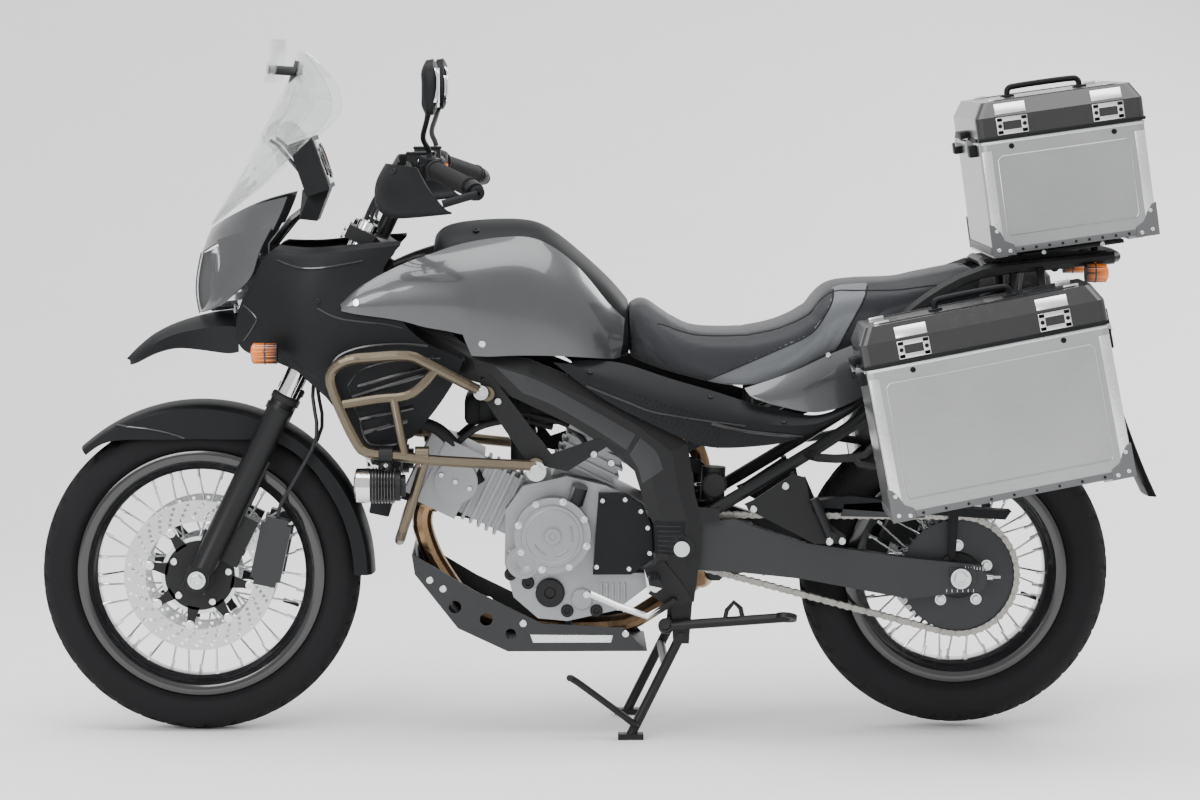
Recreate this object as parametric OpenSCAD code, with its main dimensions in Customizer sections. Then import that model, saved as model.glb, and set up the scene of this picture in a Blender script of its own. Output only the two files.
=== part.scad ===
// Adventure touring motorcycle with wire wheels, crash bars and three hard cases.
// Millimetres. X runs forward, Y to the rider's left, Z up; the ground is Z = 0.

/* [Overall] */
// Distance between the two wheel axles
wheelbase = 1560; // [1500:5:1620]
// Steering head angle from the vertical
rake = 26; // [24:0.5:28]
// Height the rear tyre is held off the floor by the centre stand
rear_lift = 10; // [6:1:16]

/* [Wheels] */
// Front tyre outer radius
front_r = 329; // [318:1:334]
// Front tyre width
front_w = 110; // [96:1:116]
// Rear tyre outer radius
rear_r = 321; // [310:1:328]
// Rear tyre width
rear_w = 150; // [130:1:154]
// Number of spokes in each wheel
spokes = 36; // [24:4:40]
// Front brake disc diameter
front_disc_d = 310; // [270:5:320]
// Rear brake disc diameter
rear_disc_d = 260; // [220:5:270]
// Axle diameter
axle_d = 25; // [20:1:28]

/* [Fork and steering] */
// Distance from the steering axis forward to the fork legs
fork_offset = 45; // [38:1:50]
// Half the distance between the fork legs
fork_y = 105; // [103:1:110]
// Stanchion diameter
stanchion_d = 43; // [38:1:46]
// Slider diameter
slider_d = 52; // [48:1:54]
// Half the handlebar width
bar_half = 417; // [380:1:440]
// Handlebar tube diameter
bar_d = 24; // [22:1:29]

/* [Frame and bars] */
// Crash bar tube diameter
crash_d = 22; // [18:1:26]
// Half the width over the crash bars
crash_y = 270; // [262:1:300]
// Subframe tube diameter
sub_d = 26; // [20:1:30]
// Case rack tube diameter
rack_d = 18; // [14:1:22]

/* [Cases] */
// Pannier length
pannier_l = 480; // [430:5:500]
// Pannier body height under the lid seam
pannier_h = 295; // [250:5:310]
// Pannier width
pannier_w = 222; // [180:2:240]
// Pannier lid height
pannier_lid = 80; // [60:2:90]
// Top box length
top_l = 336; // [300:4:360]
// Top box width
top_w = 404; // [340:4:440]
// Top box body height under the lid seam
top_h = 225; // [180:5:240]
// Top box lid height
top_lid = 77; // [60:1:90]
// Sheet thickness of the case walls
case_t = 3; // [2:0.5:4]

/* [Stands] */
// Centre stand leg length from pivot to foot
stand_l = 230; // [224:1:236]
// Half the distance between the centre stand legs
stand_y = 146; // [142:1:150]

/* [Hidden] */
$fn = 48;
// Small seat gap between pieces that are bolted together
seat_gap = 0.3;
// Running clearance of turning joints, on the radius
run = 0.05;
// Shell thickness of the plastic panels
panel_t = 3;

// Wheel centres, with the middle of the bounding box at X = 0
front_x = 816 + (wheelbase - 1560) / 2;
rear_x = front_x - wheelbase;
front_z = front_r;
rear_z = rear_r + rear_lift;

// Steering axis: a point on it beside the front axle
ax_x = front_x - fork_offset * cos(rake);
ax_z = front_z - fork_offset * sin(rake);

// Rim bead radii of a 19 inch and a 17 inch rim
front_bead = 241;
rear_bead = 216;
// Inner rim widths
front_rim_w = 64;
rear_rim_w = 102;

// Fork levels measured along the steering axis from the front axle
slider_top = 406;
lower_yoke_z = 515;
yoke_t = 34;
head_z = 556;
head_l = 200;
upper_yoke_z = 764;
upper_yoke_t = 28;
fork_top = 808;
head_r = 33;
stem_r = 15;

// Brake disc planes and thickness
disc_t = 5;
front_disc_y = 65;
rear_disc_y = 84;

// Chain line: 525 chain on a 48 tooth wheel sprocket and a 15 tooth engine sprocket
chain_pitch = 15.875;
rear_teeth = 48;
front_teeth = 15;
chain_y = 97;
chain_w = 20;
chain_h = 14;
rear_pitch_r = chain_pitch / 2 / sin(180 / rear_teeth);
front_pitch_r = chain_pitch / 2 / sin(180 / front_teeth);
drive_x = -92;
drive_z = 420;

// Swingarm pivot
pivot_x = -172;
pivot_z = 398;
arm_y0 = 114;
arm_y1 = 146;

// Stand pivots
cs_x = -172;
cs_z = 214;
ss_x = -140;
ss_y = 176;
ss_z = 238;

// Case placing
pannier_y0 = 272;
pannier_tilt = 11;
pannier_x = -808;
pannier_z = 541;
top_tilt = 8;
top_x = -965;
top_z = 1020;

/* ---------- functions ---------- */

function unit(v) = v / norm(v);
function sum(v) = [for (i = v) 1] * v;
function mix(a, b, t) = a + (b - a) * t;

// Point on a Catmull-Rom curve between b and c
function spline(a, b, c, d, t) =
    0.5 * (2 * b + (c - a) * t + (2 * a - 5 * b + 4 * c - d) * t * t
    + (3 * b - a - 3 * c + d) * t * t * t);

// Finer list of points along a smooth curve through p
function smooth(p, k) = [
    for (i = [0:len(p) - 2])
        for (j = [0:k - 1])
            spline(p[max(i - 1, 0)], p[i], p[i + 1], p[min(i + 2, len(p) - 1)], j / k),
    p[len(p) - 1]
];

// Finer closed loop through the points p
function loop(p, k) = [
    for (i = [0:len(p) - 1])
        for (j = [0:k - 1])
            spline(p[(i + len(p) - 1) % len(p)], p[i], p[(i + 1) % len(p)], p[(i + 2) % len(p)], j / k)
];

// Grid refined along its columns and then its rows
function flip(g) = [for (j = [0:len(g[0]) - 1]) [for (i = [0:len(g) - 1]) g[i][j]]];
function refine(g, k) = flip(smooth(flip(smooth(g, k)), k));

// Tangent and section axes at every point of a path
function tangent(p, i) = unit(
    (i < len(p) - 1 ? unit(p[i + 1] - p[i]) : [0, 0, 0])
    + (i > 0 ? unit(p[i] - p[i - 1]) : [0, 0, 0]));
function frames(p, i = 0, up = [0, 0, 1]) =
    i >= len(p) ? [] :
    let (t = tangent(p, i),
         u = abs(t * up) > 0.95 ? [1, 0.2, 0] : up,
         n = unit(u - t * (u * t)))
    concat([[n, cross(t, n)]], frames(p, i + 1, n));

// Point list of a rounded rectangle
function rounded(l, w, r, n = 3) = [
    for (c = [[1, 1, 0], [-1, 1, 90], [-1, -1, 180], [1, -1, 270]])
        for (a = [0:n])
            [c[0] * (l / 2 - r) + r * cos(c[2] + 90 * a / n),
             c[1] * (w / 2 - r) + r * sin(c[2] + 90 * a / n)]
];

// Loop of a chain around a large circle at a and a small one at b
function belt(a, ra, b, rb, n = 24) =
    let (d = b - a,
         w = atan2(d[1], d[0]),
         g = acos((ra - rb) / norm(d)))
    concat(
        [for (i = [0:n]) a + ra * [cos(w + g + (360 - 2 * g) * i / n),
                                   sin(w + g + (360 - 2 * g) * i / n)]],
        [for (i = [0:n / 2]) b + rb * [cos(w - g + 4 * g * i / n),
                                       sin(w - g + 4 * g * i / n)]]);

// Unit normal of a grid at a point, and a point lifted off the grid along it
function normal(g, i, j) = unit(cross(
    g[min(i + 1, len(g) - 1)][j] - g[max(i - 1, 0)][j],
    g[i][min(j + 1, len(g[0]) - 1)] - g[i][max(j - 1, 0)]));
function lifted(g, i, j, d) = g[i][j] + d * normal(g, i, j);

/* ---------- solids ---------- */

// Stud from a carrier to the point i, j of a panel grid, meeting it square on
module stud(from, g, i, j, d, r = 4) {
    sweep([from, lifted(g, i, j, d * 30), lifted(g, i, j, d)], r, 8);
}

// Closed solid, turned so that its faces look outward
module solid(p, f) {
    v = sum([for (t = f) p[t[0]] * cross(p[t[1]], p[t[2]])]);
    polyhedron(p, v > 0 ? [for (t = f) [t[2], t[1], t[0]]] : f, convexity = 8);
}

// Skin over a list of rings with the same number of points
module loft(s) {
    n = len(s[0]);
    m = len(s);
    p = [for (r = s) for (q = r) q];
    ends = [sum(s[0]) / n, sum(s[m - 1]) / n];
    f = concat(
        [for (i = [0:m - 2]) for (j = [0:n - 1]) [i * n + j, i * n + (j + 1) % n, (i + 1) * n + j]],
        [for (i = [0:m - 2]) for (j = [0:n - 1])
            [i * n + (j + 1) % n, (i + 1) * n + (j + 1) % n, (i + 1) * n + j]],
        [for (j = [0:n - 1]) [(j + 1) % n, j, m * n]],
        [for (j = [0:n - 1]) [(m - 1) * n + j, (m - 1) * n + (j + 1) % n, m * n + 1]]);
    solid(concat(p, ends), f);
}

// Tube or bar along a path, r is one radius or one for each point
module sweep(p, r, n = 10) {
    f = frames(p);
    loft([for (i = [0:len(p) - 1])
        [for (k = [0:n - 1])
            p[i] + (is_list(r) ? r[i] : r)
            * (cos(360 * k / n) * f[i][0] + sin(360 * k / n) * f[i][1])]]);
}

// Curved sheet of thickness t under a grid of points
module sheet(g, t) {
    m = len(g);
    n = len(g[0]);
    under = [for (i = [0:m - 1]) for (j = [0:n - 1]) lifted(g, i, j, -t)];
    k = m * n;
    f = concat(
        [for (i = [0:m - 2]) for (j = [0:n - 2])
            [i * n + j, i * n + j + 1, (i + 1) * n + j + 1]],
        [for (i = [0:m - 2]) for (j = [0:n - 2])
            [i * n + j, (i + 1) * n + j + 1, (i + 1) * n + j]],
        [for (i = [0:m - 2]) for (j = [0:n - 2])
            [k + i * n + j, k + (i + 1) * n + j + 1, k + i * n + j + 1]],
        [for (i = [0:m - 2]) for (j = [0:n - 2])
            [k + i * n + j, k + (i + 1) * n + j, k + (i + 1) * n + j + 1]],
        [for (i = [0:m - 2]) for (q = [[i * n, (i + 1) * n, k + (i + 1) * n, k + i * n],
            [i * n + n - 1, k + i * n + n - 1, k + (i + 1) * n + n - 1, (i + 1) * n + n - 1]])
            [q[0], q[1], q[2]]],
        [for (i = [0:m - 2]) for (q = [[i * n, (i + 1) * n, k + (i + 1) * n, k + i * n],
            [i * n + n - 1, k + i * n + n - 1, k + (i + 1) * n + n - 1, (i + 1) * n + n - 1]])
            [q[0], q[2], q[3]]],
        [for (j = [0:n - 2]) for (q = [[j, k + j, k + j + 1, j + 1],
            [(m - 1) * n + j, (m - 1) * n + j + 1, k + (m - 1) * n + j + 1, k + (m - 1) * n + j]])
            [q[0], q[1], q[2]]],
        [for (j = [0:n - 2]) for (q = [[j, k + j, k + j + 1, j + 1],
            [(m - 1) * n + j, (m - 1) * n + j + 1, k + (m - 1) * n + j + 1, k + (m - 1) * n + j]])
            [q[0], q[2], q[3]]]);
    solid(concat([for (r = g) for (q = r) q], under), f);
}

// Round bar from a to b
module rod(a, b, r) {
    d = b - a;
    translate(a) rotate([0, acos(d[2] / norm(d)), atan2(d[1], d[0])]) cylinder(h = norm(d), r = r);
}

// Cylinder across the machine at x, z, from y0 to y1
module across(x, z, y0, y1, r) {
    translate([x, y0, z]) rotate([-90, 0, 0]) cylinder(h = y1 - y0, r = r);
}

// Plate with an X-Z outline, from y0 to y1
module plate(p, y0, y1) {
    translate([0, y1, 0]) rotate([90, 0, 0]) linear_extrude(y1 - y0) polygon(p);
}

// The same thing on the left and on the right
module both() {
    children();
    mirror([0, 1, 0]) children();
}

// Ring about the wheel axle at x, z, from a radius-by-width outline
module ring(x, z, p) {
    translate([x, 0, z]) rotate([90, 0, 0]) rotate_extrude($fn = 96) polygon(p);
}

// Frame of the steering axis: X across it forward, Z up along it
module steered() {
    translate([ax_x, 0, ax_z]) rotate([0, -rake, 0]) children();
}

/* ---------- wheels ---------- */

// Carcass of a tyre: outer line and inner line of the same half section
function half_tyre(r, w, bead, rim) = smooth([
    [bead + 0.5, rim / 2 - 1.2], [bead + 16, rim / 2 - 1], [bead + 0.3 * (r - bead), w / 2 - 3],
    [bead + 0.55 * (r - bead), w / 2], [r - 0.2 * w, w * 0.46], [r - 0.08 * w, w * 0.32],
    [r - 0.02 * w, w * 0.16], [r, 0]], 2);
module tyre(x, z, r, w, bead, rim) {
    out = half_tyre(r, w, bead, rim);
    in = half_tyre(r - 11, w - 20, bead, rim - 22);
    n = len(out);
    ring(x, z, concat(
        out,
        [for (i = [n - 2:-1:0]) [out[i][0], -out[i][1]]],
        [for (i = [0:n - 2]) [in[i][0], -in[i][1]]],
        [for (i = [n - 1:-1:0]) in[i]]));
}
module front_tyre() { color("#1c1c1e") tyre(front_x, front_z, front_r, front_w, front_bead, front_rim_w); }
module rear_tyre() { color("#1c1c1e") tyre(rear_x, rear_z, rear_r, rear_w, rear_bead, rear_rim_w); }

// Wire wheel rim: flanges outside the beads and a dropped well
module rim(x, z, bead, w) {
    half = [[bead + 14, w / 2 + 1], [bead + 14, w / 2 + 5], [bead + 4, w / 2 + 6],
        [bead - 7, w / 2 + 4], [bead - 14, w / 2 - 8], [bead - 26, w / 4 + 2], [bead - 26, 0]];
    in = [[bead + 2, w / 2], [bead, w / 2 - 1], [bead, w / 2 - 20], [bead - 8, w / 4 + 4],
        [bead - 21, w / 4 - 2], [bead - 21, 0]];
    ring(x, z, concat(
        half,
        [for (i = [len(half) - 2:-1:0]) [half[i][0], -half[i][1]]],
        [for (i = [0:len(in) - 1]) [in[i][0], -in[i][1]]],
        [for (i = [len(in) - 2:-1:0]) in[i]]));
}
module front_rim() { color("#151517") rim(front_x, front_z, front_bead, front_rim_w); }
module rear_rim() { color("#151517") rim(rear_x, rear_z, rear_bead, rear_rim_w); }

// Hub barrel with two spoke flanges and end faces for disc and sprocket
module hub(x, z, barrel, flange, y_f, y_l, r_l, y_r, r_r) {
    difference() {
        union() {
            across(x, z, -y_r, y_l, barrel);
            both() across(x, z, y_f - 5, y_f + 5, flange);
            across(x, z, y_l - 6, y_l, r_l);
            across(x, z, -y_r, -y_r + 6, r_r);
        }
        across(x, z, -y_r - 1, y_l + 1, axle_d / 2 + run);
    }
}
// Crossed spokes between a hub flange and the rim well
module wires(x, z, n, r0, y0, r1, y1, skew) {
    step = 360 / n;
    for (i = [0:n - 1]) {
        side = i % 2 == 0 ? 1 : -1;
        lead = floor(i / 2) % 2 == 0 ? 1 : -1;
        a = i * step;
        b = a + lead * skew;
        rod([x + r0 * cos(a), side * (y0 + lead * 2.6), z + r0 * sin(a)],
            [x + r1 * cos(b), side * (y1 + lead * 5), z + r1 * sin(b)], 2);
    }
}
front_flange_r = 56;
rear_flange_r = 62;
wire_seat = 0.7;
front_face = front_disc_y - disc_t / 2 - seat_gap;
rear_face = rear_disc_y - disc_t / 2 - seat_gap;
module front_hub() {
    color("#8d9094") {
        hub(front_x, front_z, 30, front_flange_r, 32, front_face, 80, front_face, 80);
        wires(front_x, front_z, spokes, front_flange_r + wire_seat, 31, front_bead - 26 - wire_seat,
            10, 22);
    }
}
module rear_hub() {
    color("#8d9094") {
        hub(rear_x, rear_z, 36, rear_flange_r, 38, 70, 92, rear_face, 74);
        wires(rear_x, rear_z, spokes, rear_flange_r + wire_seat, 37, rear_bead - 26 - wire_seat,
            14, 22);
    }
}

// Brake disc ring floating on a carrier
module disc(x, z, y, r, inner, bolt) {
    difference() {
        across(x, z, y - disc_t / 2, y + disc_t / 2, r);
        across(x, z, y - disc_t, y + disc_t, inner);
    }
    difference() {
        across(x, z, y - disc_t / 2, y + disc_t / 2, inner - seat_gap);
        across(x, z, y - disc_t, y + disc_t, bolt);
    }
}
module front_discs() {
    color("#b9bcc0")
        both() disc(front_x, front_z, front_disc_y, front_disc_d / 2, front_disc_d / 2 - 44, 44);
}
module rear_disc() {
    color("#b9bcc0")
        disc(rear_x, rear_z, -rear_disc_y, rear_disc_d / 2, rear_disc_d / 2 - 38, 40);
}
// Wheel sprocket plate; its teeth lie between the chain's side plates
module rear_sprocket() {
    color("#4b4d50") difference() {
        union() {
            across(rear_x, rear_z, chain_y - 4, chain_y + 4, rear_pitch_r - chain_h / 2 - 0.6);
            across(rear_x, rear_z, 70 + seat_gap, chain_y, 84);
        }
        across(rear_x, rear_z, 60, chain_y + 9, 34);
    }
}

/* ---------- steering ---------- */

// Clamps, steering stem and handlebar risers
module yoke_plate(z, t, front) {
    translate([0, 0, z]) linear_extrude(t) difference() {
        polygon([[-26, -22], [20, -fork_y - 38], [fork_offset + 34, -fork_y - 38],
            [fork_offset + 34, -fork_y + 30], [front, -40], [front, 40],
            [fork_offset + 34, fork_y - 30], [fork_offset + 34, fork_y + 38],
            [20, fork_y + 38], [-26, 22]]);
        for (s = [-1, 1]) translate([fork_offset, s * fork_y]) circle(stanchion_d / 2 + run);
    }
}
module fork_yokes() {
    color("#232427") steered() {
        yoke_plate(lower_yoke_z, yoke_t, 52);
        yoke_plate(upper_yoke_z, upper_yoke_t, 44);
        translate([0, 0, lower_yoke_z]) cylinder(h = upper_yoke_z + upper_yoke_t - lower_yoke_z, r = stem_r);
        for (s = [-1, 1]) {
            translate([14, s * 50, upper_yoke_z + 10]) cylinder(h = 80, r = 16);
            translate([-6, s * 50 - 16, 852.6]) cube([40, 32, 14]);
        }
    }
}
module fork_stanchions() {
    color("#c9ccd0") steered() for (s = [-1, 1])
        translate([fork_offset, s * fork_y, slider_top - 120]) difference() {
            cylinder(h = fork_top - slider_top + 120, r = stanchion_d / 2);
            translate([0, 0, -1]) cylinder(h = 100, r = stanchion_d / 2 - 3);
        }
}
module fork_sliders() {
    color("#1d1e20") {
        difference() {
            union() {
                steered() for (s = [-1, 1]) translate([fork_offset, s * fork_y, -26]) {
                    cylinder(h = slider_top + 26, r = slider_d / 2);
                    translate([0, 0, slider_top]) cylinder(h = 14, r = slider_d / 2 + 3);
                }
                both() across(front_x, front_z, fork_y - 24, fork_y + 26, 25);
                steered() both() translate([fork_offset - 30, fork_y - 18, 130])
                    cube([26, 24, 150]);
                steered() both() translate([fork_offset - 62, fork_y - 22, 52])
                    cube([46, 16, 104]);
            }
            steered() for (s = [-1, 1]) translate([fork_offset, s * fork_y, 150])
                cylinder(h = slider_top, r = stanchion_d / 2 + run);
            across(front_x, front_z, -fork_y - 40, fork_y + 40, axle_d / 2 + run);
        }
    }
}
module front_axle() {
    color("#a9acb0") difference() {
        union() {
            across(front_x, front_z, -fork_y - 30, fork_y + 30, axle_d / 2);
            across(front_x, front_z, fork_y + 26 + seat_gap, fork_y + 34, 17);
            across(front_x, front_z, -fork_y - 34, -fork_y - 26 - seat_gap, 17);
        }
        across(front_x, front_z, -fork_y - 40, fork_y + 40, 9);
    }
}
// Four piston calipers astride the front discs
module front_calipers() {
    color("#2a2b2e") both() difference() {
        steered() translate([-70, 50, 62]) rotate([0, 14, 0]) union() {
            translate([-38, 0, -12]) cube([62, 33, 118]);
            translate([-30, 0, -24]) cube([46, 33, 142]);
        }
        across(front_x, front_z, front_disc_y - disc_t / 2 - 4, front_disc_y + disc_t / 2 + 4,
            front_disc_d / 2 + 5);
    }
}
bar_path = smooth([[247, bar_half, 1136], [285, 350, 1154], [318, 285, 1168], [366, 180, 1166],
    [396, 110, 1128], [403, 60, 1108], [403, 0, 1107]], 3);
module handlebar() {
    color("#202124") {
        both() sweep(bar_path, bar_d / 2, 12);
        both() sweep([[252, bar_half - 6, 1139], [324, 279, 1169]], 17, 12);
        both() rod([240, bar_half + 18, 1131], [249, bar_half - 4, 1138], 18);
        both() rod([329, 272, 1169], [342, 240, 1171], 21);
        both() translate([352, 218, 1186]) cube([56, 44, 30], center = true);
        both() rod([376, 232, 1184], [364, 336, 1158], 5);
    }
}
module mirrors() {
    color("#1a1b1d") both() {
        sweep(smooth([[333.8, 263, 1192.6], [336, 264, 1210], [346, 300, 1232], [338, 350, 1262],
            [330, 392, 1292]], 3), 6, 8);
        loft([for (t = [[-10, 0.72], [0, 1], [14, 0.98], [24, 0.7]])
            [for (q = loop([[34, 0], [30, 40], [8, 56], [-26, 50], [-38, 8], [-34, -40], [-10, -54],
                [22, -44]], 2))
                [322 + t[0], 392 + 1.35 * q[0] * t[1] * 0.9, 1333 + q[1] * t[1] - t[0] * 0.1]]]);
    }
}
module handguards() {
    color("#222326") both() {
        sheet(refine([
            [[412, 262, 1168], [416, 300, 1180], [408, 365, 1182], [352, 430, 1178]],
            [[428, 262, 1138], [436, 310, 1142], [422, 390, 1142], [330, 446, 1138]],
            [[430, 268, 1108], [436, 320, 1102], [410, 395, 1094], [300, 446, 1100]],
            [[416, 272, 1096], [420, 320, 1088], [396, 385, 1080], [286, 436, 1092]]], 3), -4);
        rod([236, bar_half + 32.6, 1128], [304, bar_half + 35, 1108], 8);
        rod([354.3, 266, 1161.1], [436, 268, 1110], 6);
    }
}
// Guard over the front wheel, front and rear lengths in one skin
function fender_edge(a) = a < 60 ? 340 : a < 118 ? max(284, 282 / sin(a)) : a < 140 ? 322 : 318;
module front_fender() {
    color("#27282b") {
        sheet([for (a = [47:7:180]) let (e = fender_edge(a), w = a < 54 ? 52 : a < 68 ? 64 : a < 120 ? 71 : 68)
            [for (q = [[-1, e, 1], [-1, 345, 1], [-0.9, 351, 0], [-0.5, 355, 0], [0, 357, 0],
                [0.5, 355, 0], [0.9, 351, 0], [1, 345, 1], [1, e, 1]])
                [front_x + min(q[1], 357) * cos(a), q[0] * w, front_z + min(q[1], 357) * sin(a)]]], 3);
        both() steered() translate([fork_offset - 18, 68, 305]) cube([34, fork_y - 68 - slider_d / 2 - 0.3, 26]);
    }
}
module brake_hoses() {
    color("#141416") both() sweep(smooth([[653.9, 66.5, 448.8], [647.8, 66.5, 477], [612, 84, 540],
        [572, 96, 620], [580, 84, 700], [574, 60, 745], [559.1, 60, 775.8]], 3), 4, 8);
}

/* ---------- chassis ---------- */

// Twin spars: each station is upper edge, lower edge, inner and outer Y
spar = [
    [[462, 945], [486, 838], 16, 42], [[425, 920], [440, 812], 52, 86],
    [[370, 885], [372, 770], 100, 134], [[256, 806], [238, 735], 150, 178],
    [[135, 783], [153, 699], 158, 188], [[-6, 724], [51, 650], 160, 190],
    [[-110, 668], [-20, 605], 158, 188], [[-184, 612], [-76, 556], 156, 184],
    [[-200, 506], [-101, 475], 154, 180], [[-212, 462], [-120, 437], 152, 176],
    [[-210, 378], [-123, 370], 152, 176], [[-198, 286], [-125, 292], 152, 176]];
module main_frame() {
    color("#2b2d30") {
        difference() {
            both() loft([for (s = spar) let (a = s[0], b = s[1]) [
                [a[0], s[2], a[1]],
                [a[0], s[3] - 9, a[1]],
                [mix(a, b, 0.3)[0], s[3], mix(a, b, 0.3)[1]],
                [mix(a, b, 0.75)[0], s[3], mix(a, b, 0.75)[1]],
                [b[0], s[3] - 7, b[1]],
                [b[0], s[2], b[1]]]]);
            steered() translate([0, 0, head_z - 1]) cylinder(h = head_l + 2, r = head_r - 6);
            across(pivot_x, pivot_z, -200, 200, 14);
        }
        difference() {
            steered() translate([0, 0, head_z]) cylinder(h = head_l, r = head_r);
            steered() translate([0, 0, head_z - 1]) cylinder(h = head_l + 2, r = stem_r + run);
        }
        across(-172, 556, -158, 158, 12);
        across(-160, 330, -158, 158, 13);
        difference() {
            both() across(pivot_x, pivot_z, 150, 182, 26);
            across(pivot_x, pivot_z, -200, 200, 9 + run);
        }
        both() plate([[-190, 482], [-250, 478], [-250, 450], [-190, 446]], 162, 168);
        for (y = [-1, 35.3]) plate([[-170, 566], [-182, 546], [-218, 532], [-224, 548], [-206, 566]],
            y, y + 6);
        both() sweep([[200, 164, 780], [200, 164, 840], [200, 134.2, 864.9]], 7, 8);
        both() rod([374, 118, 796], [383.3, 118, 751.4], 7);
        both() rod([517, 22, 906], [637.4, 34, 930], 9);
        both() stud([262, 164, 775], skin, 12, 6, -0.6);
        both() plate([[238, 742], [214, 752], [92, 592], [104, 566], [140, 572], [226, 700]], 178, 184);
        both() plate([[92, 592], [104, 566], [60, 556], [-20, 606], [-50, 592], [-62, 606],
            [-30, 628], [10, 620]], 178, 184);
    }
    stand_bracket();
    side_stand_bracket();
}
module subframe() {
    color("#222427") both() {
        sweep(smooth([[-180, 128, 600], [-330, 126, 668], [-520, 120, 760], [-700, 104, 842],
            [-860, 96, 900]], 2), sub_d / 2, 10);
        sweep(smooth([[-236, 140, 470], [-380, 142, 556], [-530, 136, 650], [-700, 114, 776],
            [-750, 114.5, 822], [-790, 106, 866]], 2), sub_d / 2, 10);
        across(-236, 464, 134, 161.7, 13);
        across(-180, 600, 124, 155.6, 13);
        rod([-320, 116, 660], [-320, 116, 727.3], 9);
        rod([-620, 108, 800], [-620, 108, 834.6], 9);
        stud([-330, 126, 668], lower_skin, 2, 8, -1.1);
        stud([-520, 120, 760], tail_skin, 2, 6, -0.7);
    }
}
module crankcase() {
    color("#8b8e92") difference() {
        plate([[186, 470], [150, 520], [60, 540], [-20, 520], [-120, 470], [-138, 420],
        [-130, 330], [-40, 262], [60, 240], [120, 246], [170, 290], [188, 360]], -120, 120);
        plate([[-36, 340], [-36, 502], [-150, 502], [-150, 340]], chain_y - 15, 121);
    }
}
// Barrel and head along a cylinder axis at angle a over the horizontal
module cylinder_block(a) {
    translate([80, 0, 425]) rotate([0, -a, 0]) {
        translate([92, -62, -58]) cube([112, 124, 116]);
        for (i = [0:4]) translate([110 + 18 * i, -72, -68]) cube([6, 144, 136]);
        translate([200, -92, -72]) cube([86, 184, 144]);
        translate([284, -84, -66]) cube([34, 168, 132]);
        both() translate([230, 92, 0]) rotate([-90, 0, 0]) cylinder(h = 16, r = 44);
    }
}
module cylinders() {
    color("#9a9da1") {
        difference() {
            union() {
                cylinder_block(26);
                cylinder_block(116);
            }
            plate([[186 + seat_gap, 470], [150, 520.6], [60, 540.4], [-20, 520.4], [-121, 470],
                [-130, 330], [-40, 262], [60, 240], [188.6, 360]], -140, 140);
        }
    }
}
gen_x = 90;
gen_z = 422;
module engine_covers() {
    color("#a4a7ab") {
        across(gen_x, gen_z, 120 + seat_gap, 164, 78);
        across(gen_x, gen_z, 163, 172, 62);
        across(gen_x, gen_z, 171, 175, 20);
        across(150, 366, 120 + seat_gap, 150, 34);
        rod([44, 138, 486], [34, 150, 522], 17);
        across(70, 412, -170, -120 - seat_gap, 92);
        across(70, 412, -178, -169, 70);
        across(-70, 330, -152, -120 - seat_gap, 48);
    }
    color("#1f2022") plate([[-4, 506], [-58, 506], [-96, 480], [-112, 440], [-116, 372],
        [-70, 340], [8, 340]], 120 + seat_gap, 148);
}
module radiator() {
    color("#2a2c2f") {
        translate([424, 0, 560]) rotate([0, -12, 0]) {
            translate([-18, -150, 0]) cube([34, 300, 195]);
            translate([-24, -166, 10]) cube([44, 16.5, 175]);
            translate([-24, 149.5, 10]) cube([44, 16.5, 175]);
        }
        translate([346, -105, 650]) rotate([0, -12, 0]) cube([42, 210, 92]);
    }
}
header_r = 21;
module exhaust() {
    color("#8a6f52") {
        sweep(smooth([[350.5, 0, 468], [357, 0, 454], [359, 0, 425], [346, 0, 380], [324, 0, 336], [270, 0, 262],
            [200, 0, 224], [80, 0, 212], [-20, -8, 212], [-70, -28, 218], [-120, -60, 242],
            [-150, -80, 258], [-190, -112, 276], [-236, -155.4, 308.7]], 3), header_r, 12);
        rod([-228, -151.8, 307.4], [-270, -171, 315], header_r + 3);
        rod([347.2, 0, 474.6], [353, 0, 462.7], header_r + 5);
        rod([-91.2, -30, 610.9], [-104, -30, 604.7], header_r + 3);
        sweep(smooth([[-98, -30, 607.6], [-119.5, -30, 597.1],
            [-200, -60, 590], [-227, -82, 520],
            [-226, -84, 400], [-222, -88, 330], [-222, -104, 296], [-232, -136, 292]], 3), 18, 12);
    }
}
module silencer() {
    color("#3a3c3f") {
        rod([-270.4, -171.2, 315.1], [-352, -208.4, 329.8], 27);
        rod([-350, -212, 329], [-398, -214, 341], 44);
        difference() {
            rod([-394, -214, 340], [-840, -214, 455], 50);
            rod([-780, -214, 439.5], [-850, -214, 457.6], 34);
        }
        across(-490, 396, -206, -162.4, 9);
    }
}
skid_line = [[378, 378], [372, 338], [284, 226], [182, 178], [-104, 178]];
module skid_plate() {
    color("#303236") {
        plate(concat(skid_line, [[-104, 182], [181, 182], [281.5, 229.5], [368, 339.5], [374, 378]]),
            -122, 122);
        both() difference() {
            plate([[374, 378], [368, 338], [282, 229], [181, 180], [-100, 180], [-58, 226],
                [112, 236], [250, 304], [330, 352]], 118, 122);
            translate([290, 100, 270]) rotate([-90, 0, 0]) cylinder(h = 40, r = 13);
            translate([226, 100, 244]) rotate([-90, 0, 0]) cylinder(h = 40, r = 13);
            translate([176, 100, 214]) rotate([-90, 0, 0]) cylinder(h = 40, r = 11);
        }
        both() plate([[120, 182], [150, 182], [150, 214], [120, 214]], 60, 122);
        both() rod([60, 90, 180], [60, 90, 239.6], 10);
    }
}
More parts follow.
